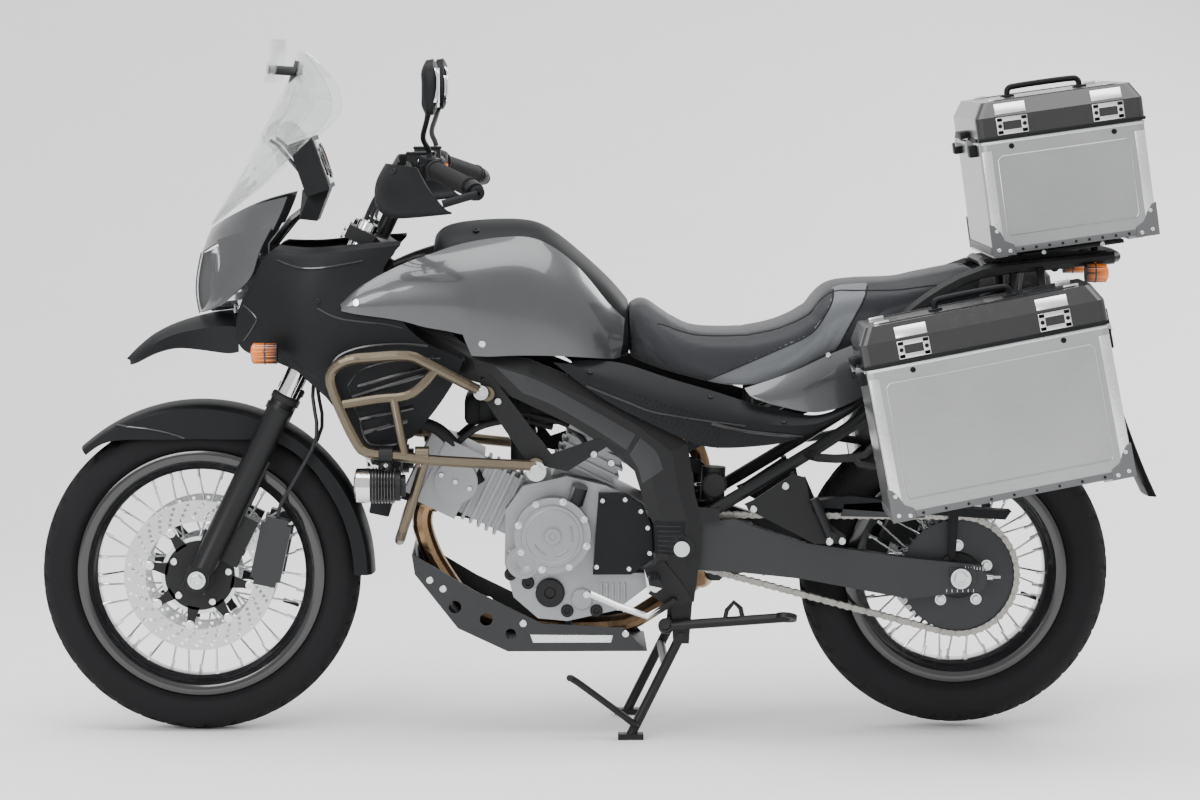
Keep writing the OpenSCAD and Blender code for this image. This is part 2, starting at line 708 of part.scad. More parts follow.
module crash_bars() {
    color("#8f8672") {
        both() sweep(smooth([[222, 196, 716], [262, 236, 738], [341, 264, 782], [378, crash_y, 798],
            [451, crash_y, 795], [500, crash_y, 789], [530, 262, 768], [532, 258, 738], [513, 256, 687],
            [485, 258, 629], [462, 260, 604], [399, 258, 596], [322, 250, 586], [163, 212, 573],
            [124, 204, 570]], 3), crash_d / 2, 10);
        both() sweep(smooth([[509, 256, 700], [440, 262, 712], [383, 264, 718], [350, 266, 740],
            [322, 258, 772]], 3), crash_d / 2 - 1, 10);
        both() rod([408, 264, 712], [386, 258, 598], 9);
        sweep(smooth([[344, 252, 588], [354, 244, 560], [382, 222, 470], [398, 190, 424],
            [402, 120, 408], [402, 0, 404], [402, -120, 408], [398, -190, 424], [382, -222, 470],
            [354, -244, 560], [344, -252, 588]], 2), crash_d / 2 - 1, 10);
        both() across(124, 570, 184.3, 210, 16);
        both() across(222, 716, 184.3, 204, 15);
    }
}
module fog_lamps() {
    color("#17181a") both() {
        rod([395, 252, 536], [442, 252, 536], 31);
        rod([441, 252, 536], [482, 252, 536], 34);
        rod([396, 252, 536], [385, 252, 536], 22);
        rod([420, 252, 560], [421, 258, 586.2], 8);
    }
}
module fuel_tank() {
    color("#232427") loft([for (s = smooth([
        [332, 96, 1022, 960], [318, 128, 1042, 920], [284, 146, 1056, 880], [210, 150, 1064, 850],
        [134, 140, 1062, 840], [86, 132, 1040, 830], [30, 122, 995, 800], [-25, 114, 944, 780],
        [-58, 104, 906, 776], [-68, 94, 892, 784]], 2))
        [for (q = [[0, 0], [0.45, 0.05], [0.8, 0.2], [1, 0.55], [0.98, 0.85], [0.8, 1], [0, 1],
            [-0.8, 1], [-0.98, 0.85], [-1, 0.55], [-0.8, 0.2], [-0.45, 0.05]])
            [s[0], q[0] * s[1], s[2] + (s[3] - s[2]) * q[1]]]]);
    color("#232427") both() {
        stud([178, 110, 915], cowl_skin, 12, 4, panel_t + 0.7);
        stud([4, 80, 860], cowl_skin, 18, 4, panel_t + 0.7);
    }
}
cowl = [
    [[515, 232, 899], [513, 236, 895], [512, 238, 890], [513, 236, 886]],
    [[478, 226, 934], [480, 240, 920], [482, 246, 898], [478, 244, 879]],
    [[395, 210, 977], [398, 236, 950], [400, 248, 905], [396, 242, 868]],
    [[340, 194, 996], [342, 234, 962], [344, 250, 905], [342, 240, 852]],
    [[283, 172, 1015], [282, 226, 975], [276, 250, 905], [270, 236, 838]],
    [[225, 158, 1026], [232, 218, 980], [240, 244, 900], [252, 228, 795]],
    [[170, 152, 1031], [172, 208, 985], [178, 234, 900], [180, 224, 795]],
    [[120, 148, 1026], [114, 196, 975], [108, 222, 890], [106, 212, 794]],
    [[62, 140, 992], [52, 180, 945], [44, 204, 870], [40, 200, 790]],
    [[14, 134, 943], [6, 162, 905], [0, 182, 850], [-4, 182, 786]],
    [[-22, 128, 896], [-28, 144, 872], [-30, 158, 830], [-32, 160, 783]],
    [[-58, 122, 862], [-56, 128, 846], [-54, 138, 818], [-48, 144, 785]]];
cowl_skin = refine(cowl, 2);
module tank_cowls() {
    color("#6d7176") both() sheet(cowl_skin, -panel_t);
}
fairing = [
    [[640, 118, 1010], [575, 164, 1006], [490, 176, 1014], [396, 168, 1020]],
    [[652, 166, 1004], [575, 206, 996], [490, 206, 1004], [396, 190, 1014]],
    [[672, 170, 985], [590, 216, 960], [520, 220, 960], [430, 204, 968]],
    [[696, 166, 935], [604, 220, 905], [520, 226, 895], [410, 224, 900]],
    [[722, 148, 890], [612, 216, 850], [530, 228, 845], [380, 224, 850]],
    [[730, 136, 822], [615, 206, 808], [535, 224, 800], [330, 216, 812]],
    [[700, 140, 792], [604, 200, 784], [546, 220, 752], [270, 204, 786]],
    [[640, 172, 785], [560, 212, 740], [500, 220, 712], [300, 202, 722]],
    [[560, 206, 760], [500, 214, 655], [450, 216, 668], [336, 196, 672]],
    [[540, 214, 735], [470, 206, 600], [430, 206, 604], [374, 188, 628]]];
skin = refine(fairing, 2);
module side_fairings() {
    color("#1e1f21") both() sheet(skin, -panel_t);
}
// Grey nose: brow under the screen, cheeks behind the lamps, strip between them
brow = [
    [[792, 0, 1040], [772, 44, 1054], [738, 90, 1074], [688, 132, 1096], [624, 162, 1112]],
    [[802, 0, 1020], [784, 50, 1034], [750, 98, 1050], [700, 142, 1068], [634, 168, 1084]],
    [[812, 0, 990], [798, 40, 1000], [766, 100, 1018], [716, 148, 1034], [652, 174, 1046]]];
cheek = [
    [[770, 106, 1022], [742, 132, 1032], [702, 154, 1042], [655, 174, 1050]],
    [[762, 128, 975], [740, 146, 985], [712, 162, 995], [682, 176, 998]],
    [[776, 128, 935], [752, 146, 945], [724, 160, 950], [696, 172, 950]],
    [[790, 112, 893], [774, 134, 898], [756, 146, 905], [738, 160, 912]],
    [[812, 50, 872], [800, 88, 876], [782, 118, 882], [766, 140, 890]]];
brow_skin = refine(brow, 2);
module nose_cowl() {
    color("#6a6e73") {
        both() {
            sheet(brow_skin, panel_t);
            sheet(refine(cheek, 2), panel_t);
        }
        sheet([for (s = [[812, 990], [822, 945], [824, 905], [816, 868]])
            [for (y = [-26, -14, 0, 14, 26]) [s[0] - abs(y) * 0.12, y, s[1]]]], -panel_t);
        plate([[808, 990], [818, 945], [820, 905], [812, 870], [790, 880], [770, 940], [782, 1000]],
            -4, 4);
    }
}
beak_rows = [
    [968, 10, 760, 768, 772], [952, 34, 766, 780, 790], [915, 62, 786, 806, 822],
    [870, 88, 800, 828, 845], [830, 108, 800, 838, 858], [790, 122, 796, 846, 868],
    [755, 130, 792, 848, 872], [735, 134, 796, 846, 874]];
module beak() {
    color("#202123") sheet([for (s = smooth(beak_rows, 2))
        [for (q = [[-1, 2], [-0.97, 3], [-0.6, 3.7], [-0.25, 4], [0, 4.04], [0.25, 4], [0.6, 3.7],
            [0.97, 3], [1, 2]])
            [s[0] - abs(q[0]) * 8, q[0] * s[1],
             q[1] < 3 ? s[2] : mix(s[3], s[4], min(q[1] - 3, 1))]]], -4);
}
module headlamp() {
    color("#c8ccd0") both() loft([for (s = [[700, 0.86], [760, 0.97], [784, 1]])
        [for (q = loop([[30, 985], [70, 1002], [104, 1004], [118, 975], [118, 935], [104, 895],
            [60, 878], [30, 882]], 2))
            [s[0] + (30 - q[0]) * (s[0] > 770 ? 0.3 : 0) + 8, 74 + (q[0] - 74) * s[1],
             940 + (q[1] - 940) * s[1]]]]);
    color("#1a1b1d") {
        translate([640, -110, 900]) cube([67.7, 220, 84]);
        both() {
            stud([690, 96, 935], skin, 6, 0, -0.35);
            stud([690, 80, 975], brow_skin, 4, 4, -panel_t - 0.35);
            sweep([[690, 60, 910], [726, 60, 896], [738, 60, 884], [738, 60, 870.2]], 4, 8);
        }
    }
}
screen = [
    [[790, 0, 1046], [778, 24, 1054]], [[752, 0, 1106], [706, 108, 1112]],
    [[722, 0, 1162], [646, 156, 1164]], [[690, 0, 1222], [578, 182, 1226]],
    [[664, 0, 1272], [538, 188, 1268]], [[642, 0, 1314], [530, 186, 1304]],
    [[622, 0, 1360], [546, 164, 1346]], [[608, 0, 1404], [586, 92, 1398]]];
glazing = [for (s = smooth(screen, 2)) [for (u = [-1:0.25:1])
    [mix(s[0], s[1], u * u)[0], u * s[1][1], mix(s[0], s[1], u * u)[2]]]];
module windscreen() {
    color("#aab4bb") {
        sheet(glazing, 4);
        sheet([for (z = [0, 0.35, 0.7, 1]) [for (u = [-1, -0.5, 0, 0.5, 1])
            [678 - 20 * z - 26 * u * u + 8 * z * z, u * (118 - 20 * z * z), 1340 + 88 * z]]], 4);
        both() rod([667, 58, 1366], [604, 60, 1362], 9);
    }
}
module instrument_panel() {
    color("#1c1d1f") {
        translate([583, 0, 1170]) rotate([0, 19, 0]) cube([50, 216, 112], center = true);
        plate([[543, 1126], [570, 1058], [606, 1062], [600, 1122]], -60, 60);
        both() sweep([[588, 48, 1086], [622, 48, 1060], [662, 48, 1010], [662, 48, 984.4]], 9, 8);
        both() stud([596, 70, 1150], glazing, 6, 6, 0.6);
    }
}
seat_rows = [
    [-68.5, 94, 892, 780], [-100, 116, 900, 768], [-138, 140, 872, 756], [-193, 158, 842, 742],
    [-260, 164, 836, 728], [-320, 164, 840, 728], [-380, 162, 854, 744], [-430, 158, 880, 768],
    [-475, 150, 926, 790], [-530, 142, 938, 806], [-620, 134, 942, 838], [-700, 122, 958, 868],
    [-760, 108, 968, 890], [-792, 92, 960, 905]];
module seat() {
    color("#242529") loft([for (s = smooth(seat_rows, 2))
        [for (q = [[0, 1], [0.4, 0.985], [0.75, 0.93], [0.95, 0.8], [1, 0.6], [0.97, 0.3], [0.9, 0],
            [0, 0], [-0.9, 0], [-0.97, 0.3], [-1, 0.6], [-0.95, 0.8], [-0.75, 0.93], [-0.4, 0.985]])
            [s[0], q[0] * s[1], mix(s[3], s[2], q[1])]]]);
}
cover = [
    [[46, 170, 778], [-44, 166, 776], [-140, 172, 744], [-240, 174, 716], [-310, 172, 692],
     [-380, 168, 676], [-450, 164, 664], [-520, 152, 690]],
    [[58, 194, 774], [-30, 200, 740], [-130, 206, 700], [-230, 206, 668], [-310, 202, 656],
     [-380, 194, 650], [-450, 180, 652], [-522, 164, 684]],
    [[90, 196, 780], [-10, 200, 706], [-100, 206, 660], [-190, 204, 618], [-240, 200, 606],
     [-316, 190, 608], [-394, 182, 618], [-471, 168, 652]]];
lower_skin = refine(cover, 2);
module side_covers() {
    color("#202124") both() sheet(lower_skin, -panel_t);
}
tail = [
    [[-300, 172, 722], [-370, 170, 745], [-430, 164, 770], [-490, 152, 798], [-600, 142, 835],
     [-700, 130, 868], [-800, 112, 900]],
    [[-310, 190, 708], [-380, 188, 716], [-440, 180, 732], [-505, 168, 756], [-610, 156, 800],
     [-705, 142, 840], [-805, 122, 880]],
    [[-330, 192, 699], [-390, 184, 684], [-450, 174, 674], [-528, 162, 698], [-620, 150, 762],
     [-710, 138, 812], [-808, 118, 862]]];
tail_skin = refine(tail, 2);
module tail_cowls() {
    color("#6a6e73") both() sheet(tail_skin, -panel_t);
}
module rear_carrier() {
    color("#1f2022") {
        both() sweep(smooth([[-622, 168, 866], [-646, 168, 886], [-700, 160, 922], [-782, 150, 958],
            [-900, 142, 972], [-1052, 130, 986]], 2), 13, 10);
        sweep([[-1040, 136, 985], [-1058, 110, 987], [-1062, 0, 988], [-1058, -110, 987],
            [-1040, -136, 985]], 12, 10);
        for (x = [-790, -930]) sweep([[x, 146, 966], [x, 80, 976], [x, -80, 976], [x, -146, 966]], 9, 8);
        both() rod([-850, 145, 962], [-850, 105, 909], 11);
        translate([-916, 0, 987]) rotate([0, 4, 0]) cube([250, 210, 8], center = true);
        both() rod([-850, 84, 974], [-850, 84, 1002.2], 8);
        both() rod([-1020, 84, 990], [-1020, 84, 1026], 8);
    }
}
module rear_fender() {
    color("#1a1b1d") {
        sheet([for (s = smooth([[-470, 92, 700], [-600, 96, 770], [-760, 98, 838], [-900, 96, 872],
            [-985, 90, 850], [-1030, 84, 760], [-1070, 80, 660], [-1108, 78, 560], [-1142, 70, 488]], 2))
            [for (q = [[-1, -16], [-0.85, 0], [0, 8], [0.85, 0], [1, -16]])
                [s[0] + (s[0] < -960 ? q[1] * 0.8 : 0), q[0] * s[1], s[2] + (s[0] < -960 ? 0 : q[1])]]], 4);
        translate([-979.7, -30, 846]) cube([19, 60, 40]);
        both() rod([-840, 80, 856], [-840, 90.7, 879.2], 6);
    }
}
module indicators() {
    color("#e0781e") both() {
        sweep([lifted(skin, 11, 1, panel_t + 0.4), lifted(skin, 11, 1, 24), [668, 214, 800]], 7, 8);
        rod([642, 224, 800], [690, 224, 800], 21);
        rod([-1010, 144.1, 973.3], [-1011, 158, 960], 6);
        rod([-990, 160, 956], [-1032, 160, 956], 19);
    }
    color("#a01818") translate([-1008, -70, 864]) cube([28, 140, 46]);
}

/* ---------- rear suspension and drive ---------- */

module shock_absorber() {
    color("#2c2d30") {
        across(-212, 548, 5.3, 35, 14);
        rod([-212, 20, 548], [-240, 20, 326], 14.5);
        rod([-222, 20, 512], [-237, 20, 372], 30);
        across(-240, 326, 5.3, 35, 14);
        rod([-238, 92, 488], [-241, 92, 556], 25);
        sweep([[-225, 20, 506], [-236, 58, 508], [-240, 84, 520]], 7, 8);
    }
}
module swingarm() {
    color("#232427") difference() {
        union() {
            both() plate([[-140, 428], [-178, 448], [-280, 452], [-420, 405], [-640, 372],
                [rear_x - 46, rear_z + 26], [rear_x - 56, rear_z], [rear_x - 46, rear_z - 26],
                [-640, 288], [-420, 330], [-290, 344], [-178, 350], [-146, 366]], arm_y0, arm_y1);
            across(pivot_x, pivot_z, -arm_y1, arm_y1, 27);
            plate([[-274, 430], [-330, 420], [-330, 362], [-274, 362]], -arm_y0, chain_y - 34);
            plate([[-274, 424], [-300, 418], [-300, 384], [-274, 384]], chain_y - 36, arm_y0);
            for (y = [-1, 35.3])
                plate([[-230, 330], [-240, 312], [-256, 312], [-312, 366], [-284, 370]], y, y + 6);
        }
        across(rear_x, rear_z, -arm_y1 - 9, arm_y1 + 9, axle_d / 2 + run);
        across(pivot_x, pivot_z, -arm_y1 - 9, arm_y1 + 9, 9 + run);
    }
}
module rear_axle() {
    color("#a9acb0") {
        difference() {
            union() {
                across(rear_x, rear_z, -arm_y1 - 12, arm_y1 + 12, axle_d / 2);
                both() across(rear_x, rear_z, arm_y1 + seat_gap, arm_y1 + 10, 19);
            }
            across(rear_x, rear_z, -arm_y1 - 20, arm_y1 + 20, 8);
        }
        across(pivot_x, pivot_z, -192, 192, 9);
        both() across(pivot_x, pivot_z, 182 + seat_gap, 193, 16);
    }
}
module rear_caliper() {
    color("#2a2b2e") difference() {
        union() {
            translate([rear_x + 86, -110, rear_z + 30]) rotate([0, -24, 0]) cube([64, 44, 84]);
            plate([[rear_x + 30, rear_z - 20], [rear_x + 110, rear_z + 40], [rear_x + 60, rear_z + 70],
                [rear_x - 26, rear_z + 20], [rear_x - 26, rear_z - 22]], -arm_y0 + seat_gap, -102);
        }
        across(rear_x, rear_z, -rear_disc_y - disc_t / 2 - 4, -rear_disc_y + disc_t / 2 + 4,
            rear_disc_d / 2 + 5);
        across(rear_x, rear_z, -200, 0, axle_d / 2 + run);
    }
}
module drive_chain() {
    color("#9a9b98") {
        difference() {
            plate(belt([rear_x, rear_z], rear_pitch_r + chain_h / 2, [drive_x, drive_z],
                front_pitch_r + chain_h / 2), chain_y - chain_w / 2, chain_y + chain_w / 2);
            plate(belt([rear_x, rear_z], rear_pitch_r - chain_h / 2, [drive_x, drive_z],
                front_pitch_r - chain_h / 2), chain_y - chain_w, chain_y + chain_w);
        }
        across(drive_x, drive_z, chain_y - 4, chain_y + 4, front_pitch_r - chain_h / 2 - seat_gap);
        across(drive_x, drive_z, chain_y - 15 + seat_gap, chain_y + 12, 12);
    }
}
module chain_guard() {
    color("#1b1c1e") {
        plate([[-447, 488], [-520, 498], [-672, 478], [-850, 466], [-838, 448], [-724, 456], [-600, 464],
            [-460, 474]], arm_y1 - 26, arm_y1 - 22);
        plate([[-447, 488], [-520, 498], [-672, 478], [-850, 466], [-850, 463], [-672, 475],
            [-520, 495], [-447, 485]], 82, arm_y1 - 23);
        plate([[-722, 462], [-742, 462], [-736, 364], [-722, 365.4]], arm_y1 - 26, arm_y1 - 22);
        plate([[-440, 486], [-470, 488], [-452, 401], [-430, 404.4]], arm_y1 - 26, arm_y1 - 22);
    }
}
module footrests() {
    color("#b0b3b6") {
        both() rod([-116, 177, 337], [-116, 306, 339], 13);
        both() plate([[-96, 356], [-136, 372], [-170, 330], [-196, 290], [-150, 276], [-104, 306]],
            176 + seat_gap, 183);
        sweep([[-156, 180, 294], [-156, 196, 292], [-130, 198, 276], [-102, 200, 262], [-40, 200, 284],
            [16, 200, 309], [22, 214, 311], [22, 240, 312]], 7, 8);
        sweep([[-156, -180, 294], [-156, -200, 292], [-102, -204, 270], [-20, -208, 282],
            [40, -200, 300], [50, -176, 302]], 7, 8);
    }
    color("#232427") both() {
        plate([[-300, 486], [-318, 494], [-400, 548], [-424, 540], [-440, 470], [-508, 420], [-500, 405],
            [-444, 404], [-318, 470]], 156, 162);
        across(-476, 421, 158, 190, 11);
        rod([-474, 182, 422], [-440, 182, 500], 10);
        rod([-404, 156, 520], [-400, 146.6, 550.6], 6);
        across(-314, 480, 138, 160, 8);
    }
}
rack_y = pannier_y0 - rack_d / 2 - 0.9;
module case_racks() {
    color("#1e1f21") both() {
        sweep(smooth([[-430, 155.6, 588], [-446, 190, 584], [-520, 246, 590], [-560, rack_y, 620],
            [-640, rack_y, 744], [-700, rack_y, 786], [-960, rack_y, 838], [-1004, rack_y, 820],
            [-1014, rack_y, 700], [-990, rack_y, 630], [-940, rack_y, 602], [-580, rack_y, 570],
            [-520, 246, 590]], 2), rack_d / 2, 8);
        sweep([[-700, rack_y, 786], [-704, 226, 792], [-700, 127.6, 778.6]], rack_d / 2, 8);
        sweep([[-900, rack_y, 826], [-900, 214, 895], [-900, 152, 961.9]], rack_d / 2, 8);
    }
}

/* ---------- cases ---------- */

// Open box of sheet metal with a rounded plan, opening upward
module tub(l, w, h, t, r) {
    difference() {
        linear_extrude(h) polygon(rounded(l, w, r));
        translate([0, 0, t]) linear_extrude(h) polygon(rounded(l - 2 * t, w - 2 * t, r - t));
    }
}
// Lid turned over the box, chamfered around its top
module cap(l, w, h, t, r) {
    difference() {
        loft([for (s = [[0, 0], [0.6, 0], [1, 18]])
            [for (q = rounded(l - 2 * s[1], w - 2 * s[1], r)) [q[0], q[1], h * s[0]]]]);
        loft([for (s = [[-1, 0], [h * 0.6 - 1, 0], [h - t, 18 - t]])
            [for (q = rounded(l - 2 * t - 2 * s[1], w - 2 * t - 2 * s[1], r - t)) [q[0], q[1], s[0]]]]);
    }
}
seam = 1.5;
hinge_r = 5;
module pannier_frame() {
    translate([pannier_x, pannier_y0 + pannier_w / 2, pannier_z]) rotate([0, pannier_tilt, 0]) children();
}
module top_frame() {
    translate([top_x, 0, top_z]) rotate([0, top_tilt, 0]) children();
}
// Hinge pin and its two end lugs on the body, barrel on the lid
module hinge_body(l, w, h) {
    translate([l / 2 + 10, 0, h]) {
        rotate([90, 0, 0]) cylinder(h = w * 0.5, r = hinge_r - 2, center = true);
        for (s = [-1, 1]) translate([0, s * w * 0.25, 0]) {
            translate([-10.5, -5, -12]) cube([15.5, 10, 12]);
            rotate([90, 0, 0]) cylinder(h = 10, r = hinge_r, center = true);
        }
    }
}
module hinge_lid(l, w, h) {
    translate([l / 2 + 10, 0, h]) difference() {
        union() {
            rotate([90, 0, 0]) cylinder(h = w * 0.5 - 22, r = hinge_r, center = true);
            translate([-14, -w * 0.25 + 11, seam]) cube([14, w * 0.5 - 22, hinge_r + 3]);
        }
        rotate([90, 0, 0]) cylinder(h = w * 0.5, r = hinge_r - 2 + run, center = true);
    }
}
module case_body(l, w, h) {
    tub(l, w, h, case_t, 14);
    for (a = [-1, 1]) translate([a * (l / 2 - 30), -w / 2 + 10, -9]) cube([30, w - 20, 9.5]);
    hinge_body(l, w, h);
}
module case_lid(l, w, h, lid) {
    translate([0, 0, h + seam]) cap(l + 4, w + 4, lid, case_t, 14);
    hinge_lid(l, w, h);
}
module left_pannier() {
    color("#a9abae") {
        pannier_frame() case_body(pannier_l, pannier_w, pannier_h);
    }
}
module right_pannier() { color("#a9abae") mirror([0, 1, 0]) left_pannier(); }
module left_pannier_lid() {
    color("#2a2b2e") pannier_frame() case_lid(pannier_l, pannier_w, pannier_h, pannier_lid);
}
module right_pannier_lid() { color("#2a2b2e") mirror([0, 1, 0]) left_pannier_lid(); }
module top_box() { color("#a9abae") top_frame() case_body(top_l, top_w, top_h); }
module top_box_lid() { color("#2a2b2e") top_frame() case_lid(top_l, top_w, top_h, top_lid); }

/* ---------- stands ---------- */

// Centre stand: two legs on a pivot tube, feet on the floor
stand_a = acos((cs_z - 8) / stand_l);
module centre_stand() {
    color("#1b1c1e") translate([cs_x, 0, cs_z]) {
        difference() {
            rotate([90, 0, 0]) cylinder(h = 2 * stand_y + 24, r = 15, center = true);
            rotate([90, 0, 0]) cylinder(h = 2 * stand_y + 30, r = 9 + run, center = true);
        }
        rotate([0, -stand_a, 0]) {
            both() rod([0, stand_y, -10], [0, stand_y, -stand_l], 10);
            rod([0, -stand_y, -70], [0, stand_y, -70], 9);
            sweep(smooth([[0, stand_y, -stand_l + 24], [6, stand_y + 16, -stand_l + 26],
                [40, 170, -196], [150, 172, -176], [168, 184, -174]], 2), 7, 8);
        }
        both() rotate([0, -stand_a, 0]) translate([0, stand_y, -stand_l]) rotate([0, stand_a, 0])
            translate([-26, -14, -8]) cube([52, 28, 12]);
    }
}
// Bracket and pin that carry both stands
module stand_bracket() {
    color("#202124") {
        across(cs_x, cs_z, -stand_y - 22, stand_y + 22, 9);
        both() plate([[cs_x - 16, cs_z - 14], [cs_x + 16, cs_z - 14], [-150, 300], [-196, 300]],
            stand_y + 12.5, stand_y + 19);
    }
}
// Side stand: folded along the machine, swings down and outward
ss_folded = unit([-0.995, 0.06, 0.08]);
ss_down = unit([0.10, 0.40, -0.91]);
ss_axis = unit(cross(ss_folded, ss_down));
ss_pivot = [ss_x, ss_y, ss_z];
module side_stand() {
    color("#1b1c1e") {
        difference() {
            rod(ss_pivot - 8 * ss_axis, ss_pivot + 8 * ss_axis, 15);
            rod(ss_pivot - 9 * ss_axis, ss_pivot + 9 * ss_axis, 6 + run);
        }
        rod(ss_pivot + 12 * ss_folded, ss_pivot + 252 * ss_folded, 10);
        sweep([ss_pivot + 120 * ss_folded, ss_pivot + [-124, 12, 34], ss_pivot + [-138, 20, 52],
            ss_pivot + [-152, 12, 38], ss_pivot + 158 * ss_folded], 5, 8);
        rod(ss_pivot + 246 * ss_folded - 5 * ss_down, ss_pivot + 246 * ss_folded + 5 * ss_down, 22);
    }
}
module side_stand_bracket() {
    color("#202124") {
        rod(ss_pivot - 13 * ss_axis, ss_pivot + 14 * ss_axis, 6);
        rod(ss_pivot + 8.4 * ss_axis, ss_pivot + 20 * ss_axis, 11);
        rod(ss_pivot - 13 * ss_axis, ss_pivot - 8.4 * ss_axis, 10);
        sweep([ss_pivot + 17.5 * ss_axis, [-150, 148, 252], [-152, 160, 300]], 7, 8);
    }
}

/* ---------- list ---------- */

front_tyre();
front_rim();
front_hub();
front_discs();
front_axle();
fork_yokes();
fork_stanchions();
fork_sliders();
front_calipers();
handlebar();
mirrors();
handguards();
front_fender();
brake_hoses();
rear_tyre();
rear_rim();
rear_hub();
rear_disc();
rear_sprocket();
main_frame();
subframe();
crankcase();
cylinders();
engine_covers();
radiator();
exhaust();
silencer();
skid_plate();
crash_bars();
fog_lamps();
fuel_tank();
tank_cowls();
side_fairings();
nose_cowl();
beak();
headlamp();
windscreen();
instrument_panel();
seat();
side_covers();
tail_cowls();
rear_carrier();
rear_fender();
indicators();
shock_absorber();
swingarm();
rear_axle();
rear_caliper();
drive_chain();
chain_guard();
footrests();
case_racks();
left_pannier();
right_pannier();
left_pannier_lid();
right_pannier_lid();
top_box();
top_box_lid();
side_stand();
centre_stand();
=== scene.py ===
import math

import bmesh
import bpy
from mathutils import Matrix, Vector
from mathutils.bvhtree import BVHTree


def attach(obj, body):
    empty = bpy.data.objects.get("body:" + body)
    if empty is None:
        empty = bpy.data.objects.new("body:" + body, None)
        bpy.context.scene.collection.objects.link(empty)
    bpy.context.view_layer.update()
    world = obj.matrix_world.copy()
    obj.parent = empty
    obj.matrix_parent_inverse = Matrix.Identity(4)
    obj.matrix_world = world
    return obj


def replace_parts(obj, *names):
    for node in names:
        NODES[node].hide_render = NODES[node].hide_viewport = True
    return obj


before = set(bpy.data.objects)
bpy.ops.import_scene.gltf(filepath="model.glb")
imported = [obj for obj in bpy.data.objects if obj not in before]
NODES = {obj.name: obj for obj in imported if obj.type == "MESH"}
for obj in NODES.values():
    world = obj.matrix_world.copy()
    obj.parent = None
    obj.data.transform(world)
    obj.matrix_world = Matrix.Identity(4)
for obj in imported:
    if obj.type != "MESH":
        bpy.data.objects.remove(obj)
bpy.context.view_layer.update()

MM = 0.001

# wheel centres and the generator cover's centre (millimetres)
FX, FZ = 816, 329
RX, RZ = -744, 331
GX, GZ = 90, 422
# steering axis: its foot, and how far it leans back
STEER_FOOT = (775.554, 0, 309.273)
RAKE = 26
# cases: X and Z of the origin, tilt, length, width, height, lid height
PANNIER = dict(x=-808, z=541, tilt=11, l=480, w=222, h=295, lid=80)
PANNIER_IN = 272
TOP_BOX = dict(x=-965, z=1020, tilt=8, l=336, w=404, h=225, lid=77)
LID_GAP = 1.6
# camera: sensor width (mm), then the focal length and width of the photo (pixels)
SENSOR = 36
PHOTO_FOCAL, PHOTO_WIDE = 3724.8, 1200


# ---------- materials ----------

def finish(name, base, rough=0.5, metal=0.0, grain=300.0, bump=0.08, vary=0.12, stretch=(1, 1, 1),
           coat=0.0, sheen=0.0, patch=6.0, dist=0.0006):
    """Principled material whose colour, gloss and surface vary at two scales."""
    m = bpy.data.materials.new(name)
    m.use_nodes = True
    t = m.node_tree
    n, link = t.nodes, t.links.new
    b = n["Principled BSDF"]
    b.inputs["Metallic"].default_value = metal
    b.inputs["Coat Weight"].default_value = coat
    b.inputs["Coat Roughness"].default_value = 0.06
    if sheen:
        b.inputs["Sheen Weight"].default_value = sheen
    co = n.new("ShaderNodeTexCoord")
    mp = n.new("ShaderNodeMapping")
    mp.inputs["Scale"].default_value = stretch
    link(co.outputs["Object"], mp.inputs["Vector"])
    broad = n.new("ShaderNodeTexNoise")
    broad.inputs["Scale"].default_value = patch
    broad.inputs["Detail"].default_value = 5
    link(co.outputs["Object"], broad.inputs["Vector"])
    fine = n.new("ShaderNodeTexNoise")
    fine.inputs["Scale"].default_value = grain
    fine.inputs["Detail"].default_value = 3
    link(mp.outputs["Vector"], fine.inputs["Vector"])
    mixed = n.new("ShaderNodeMix")
    mixed.data_type = "FLOAT"
    mixed.inputs[0].default_value = 0.5
    link(broad.outputs["Fac"], mixed.inputs[2])
    link(fine.outputs["Fac"], mixed.inputs[3])
    ramp = n.new("ShaderNodeValToRGB")
    ramp.color_ramp.elements[0].position = 0.3
    ramp.color_ramp.elements[1].position = 0.7
    ramp.color_ramp.elements[0].color = [c * (1 - vary) for c in base] + [1]
    ramp.color_ramp.elements[1].color = [min(1, c * (1 + vary)) for c in base] + [1]
    link(mixed.outputs[0], ramp.inputs["Fac"])
    link(ramp.outputs["Color"], b.inputs["Base Color"])
    gloss = n.new("ShaderNodeMapRange")
    gloss.inputs["To Min"].default_value = max(0.03, rough * 0.8)
    gloss.inputs["To Max"].default_value = min(1, rough * 1.2)
    link(mixed.outputs[0], gloss.inputs["Value"])
    link(gloss.outputs["Result"], b.inputs["Roughness"])
    bp = n.new("ShaderNodeBump")
    bp.inputs["Strength"].default_value = bump
    bp.inputs["Distance"].default_value = dist
    link(fine.outputs["Fac"], bp.inputs["Height"])
    link(bp.outputs["Normal"], b.inputs["Normal"])
    return m


def glassy(name, tint, rough=0.03, alpha=0.25):
    m = finish(name, tint, rough, grain=40, bump=0.0, vary=0.04)
    b = m.node_tree.nodes["Principled BSDF"]
    b.inputs["Transmission Weight"].default_value = 1.0
    b.inputs["IOR"].default_value = 1.3
    b.inputs["Alpha"].default_value = alpha
    return m


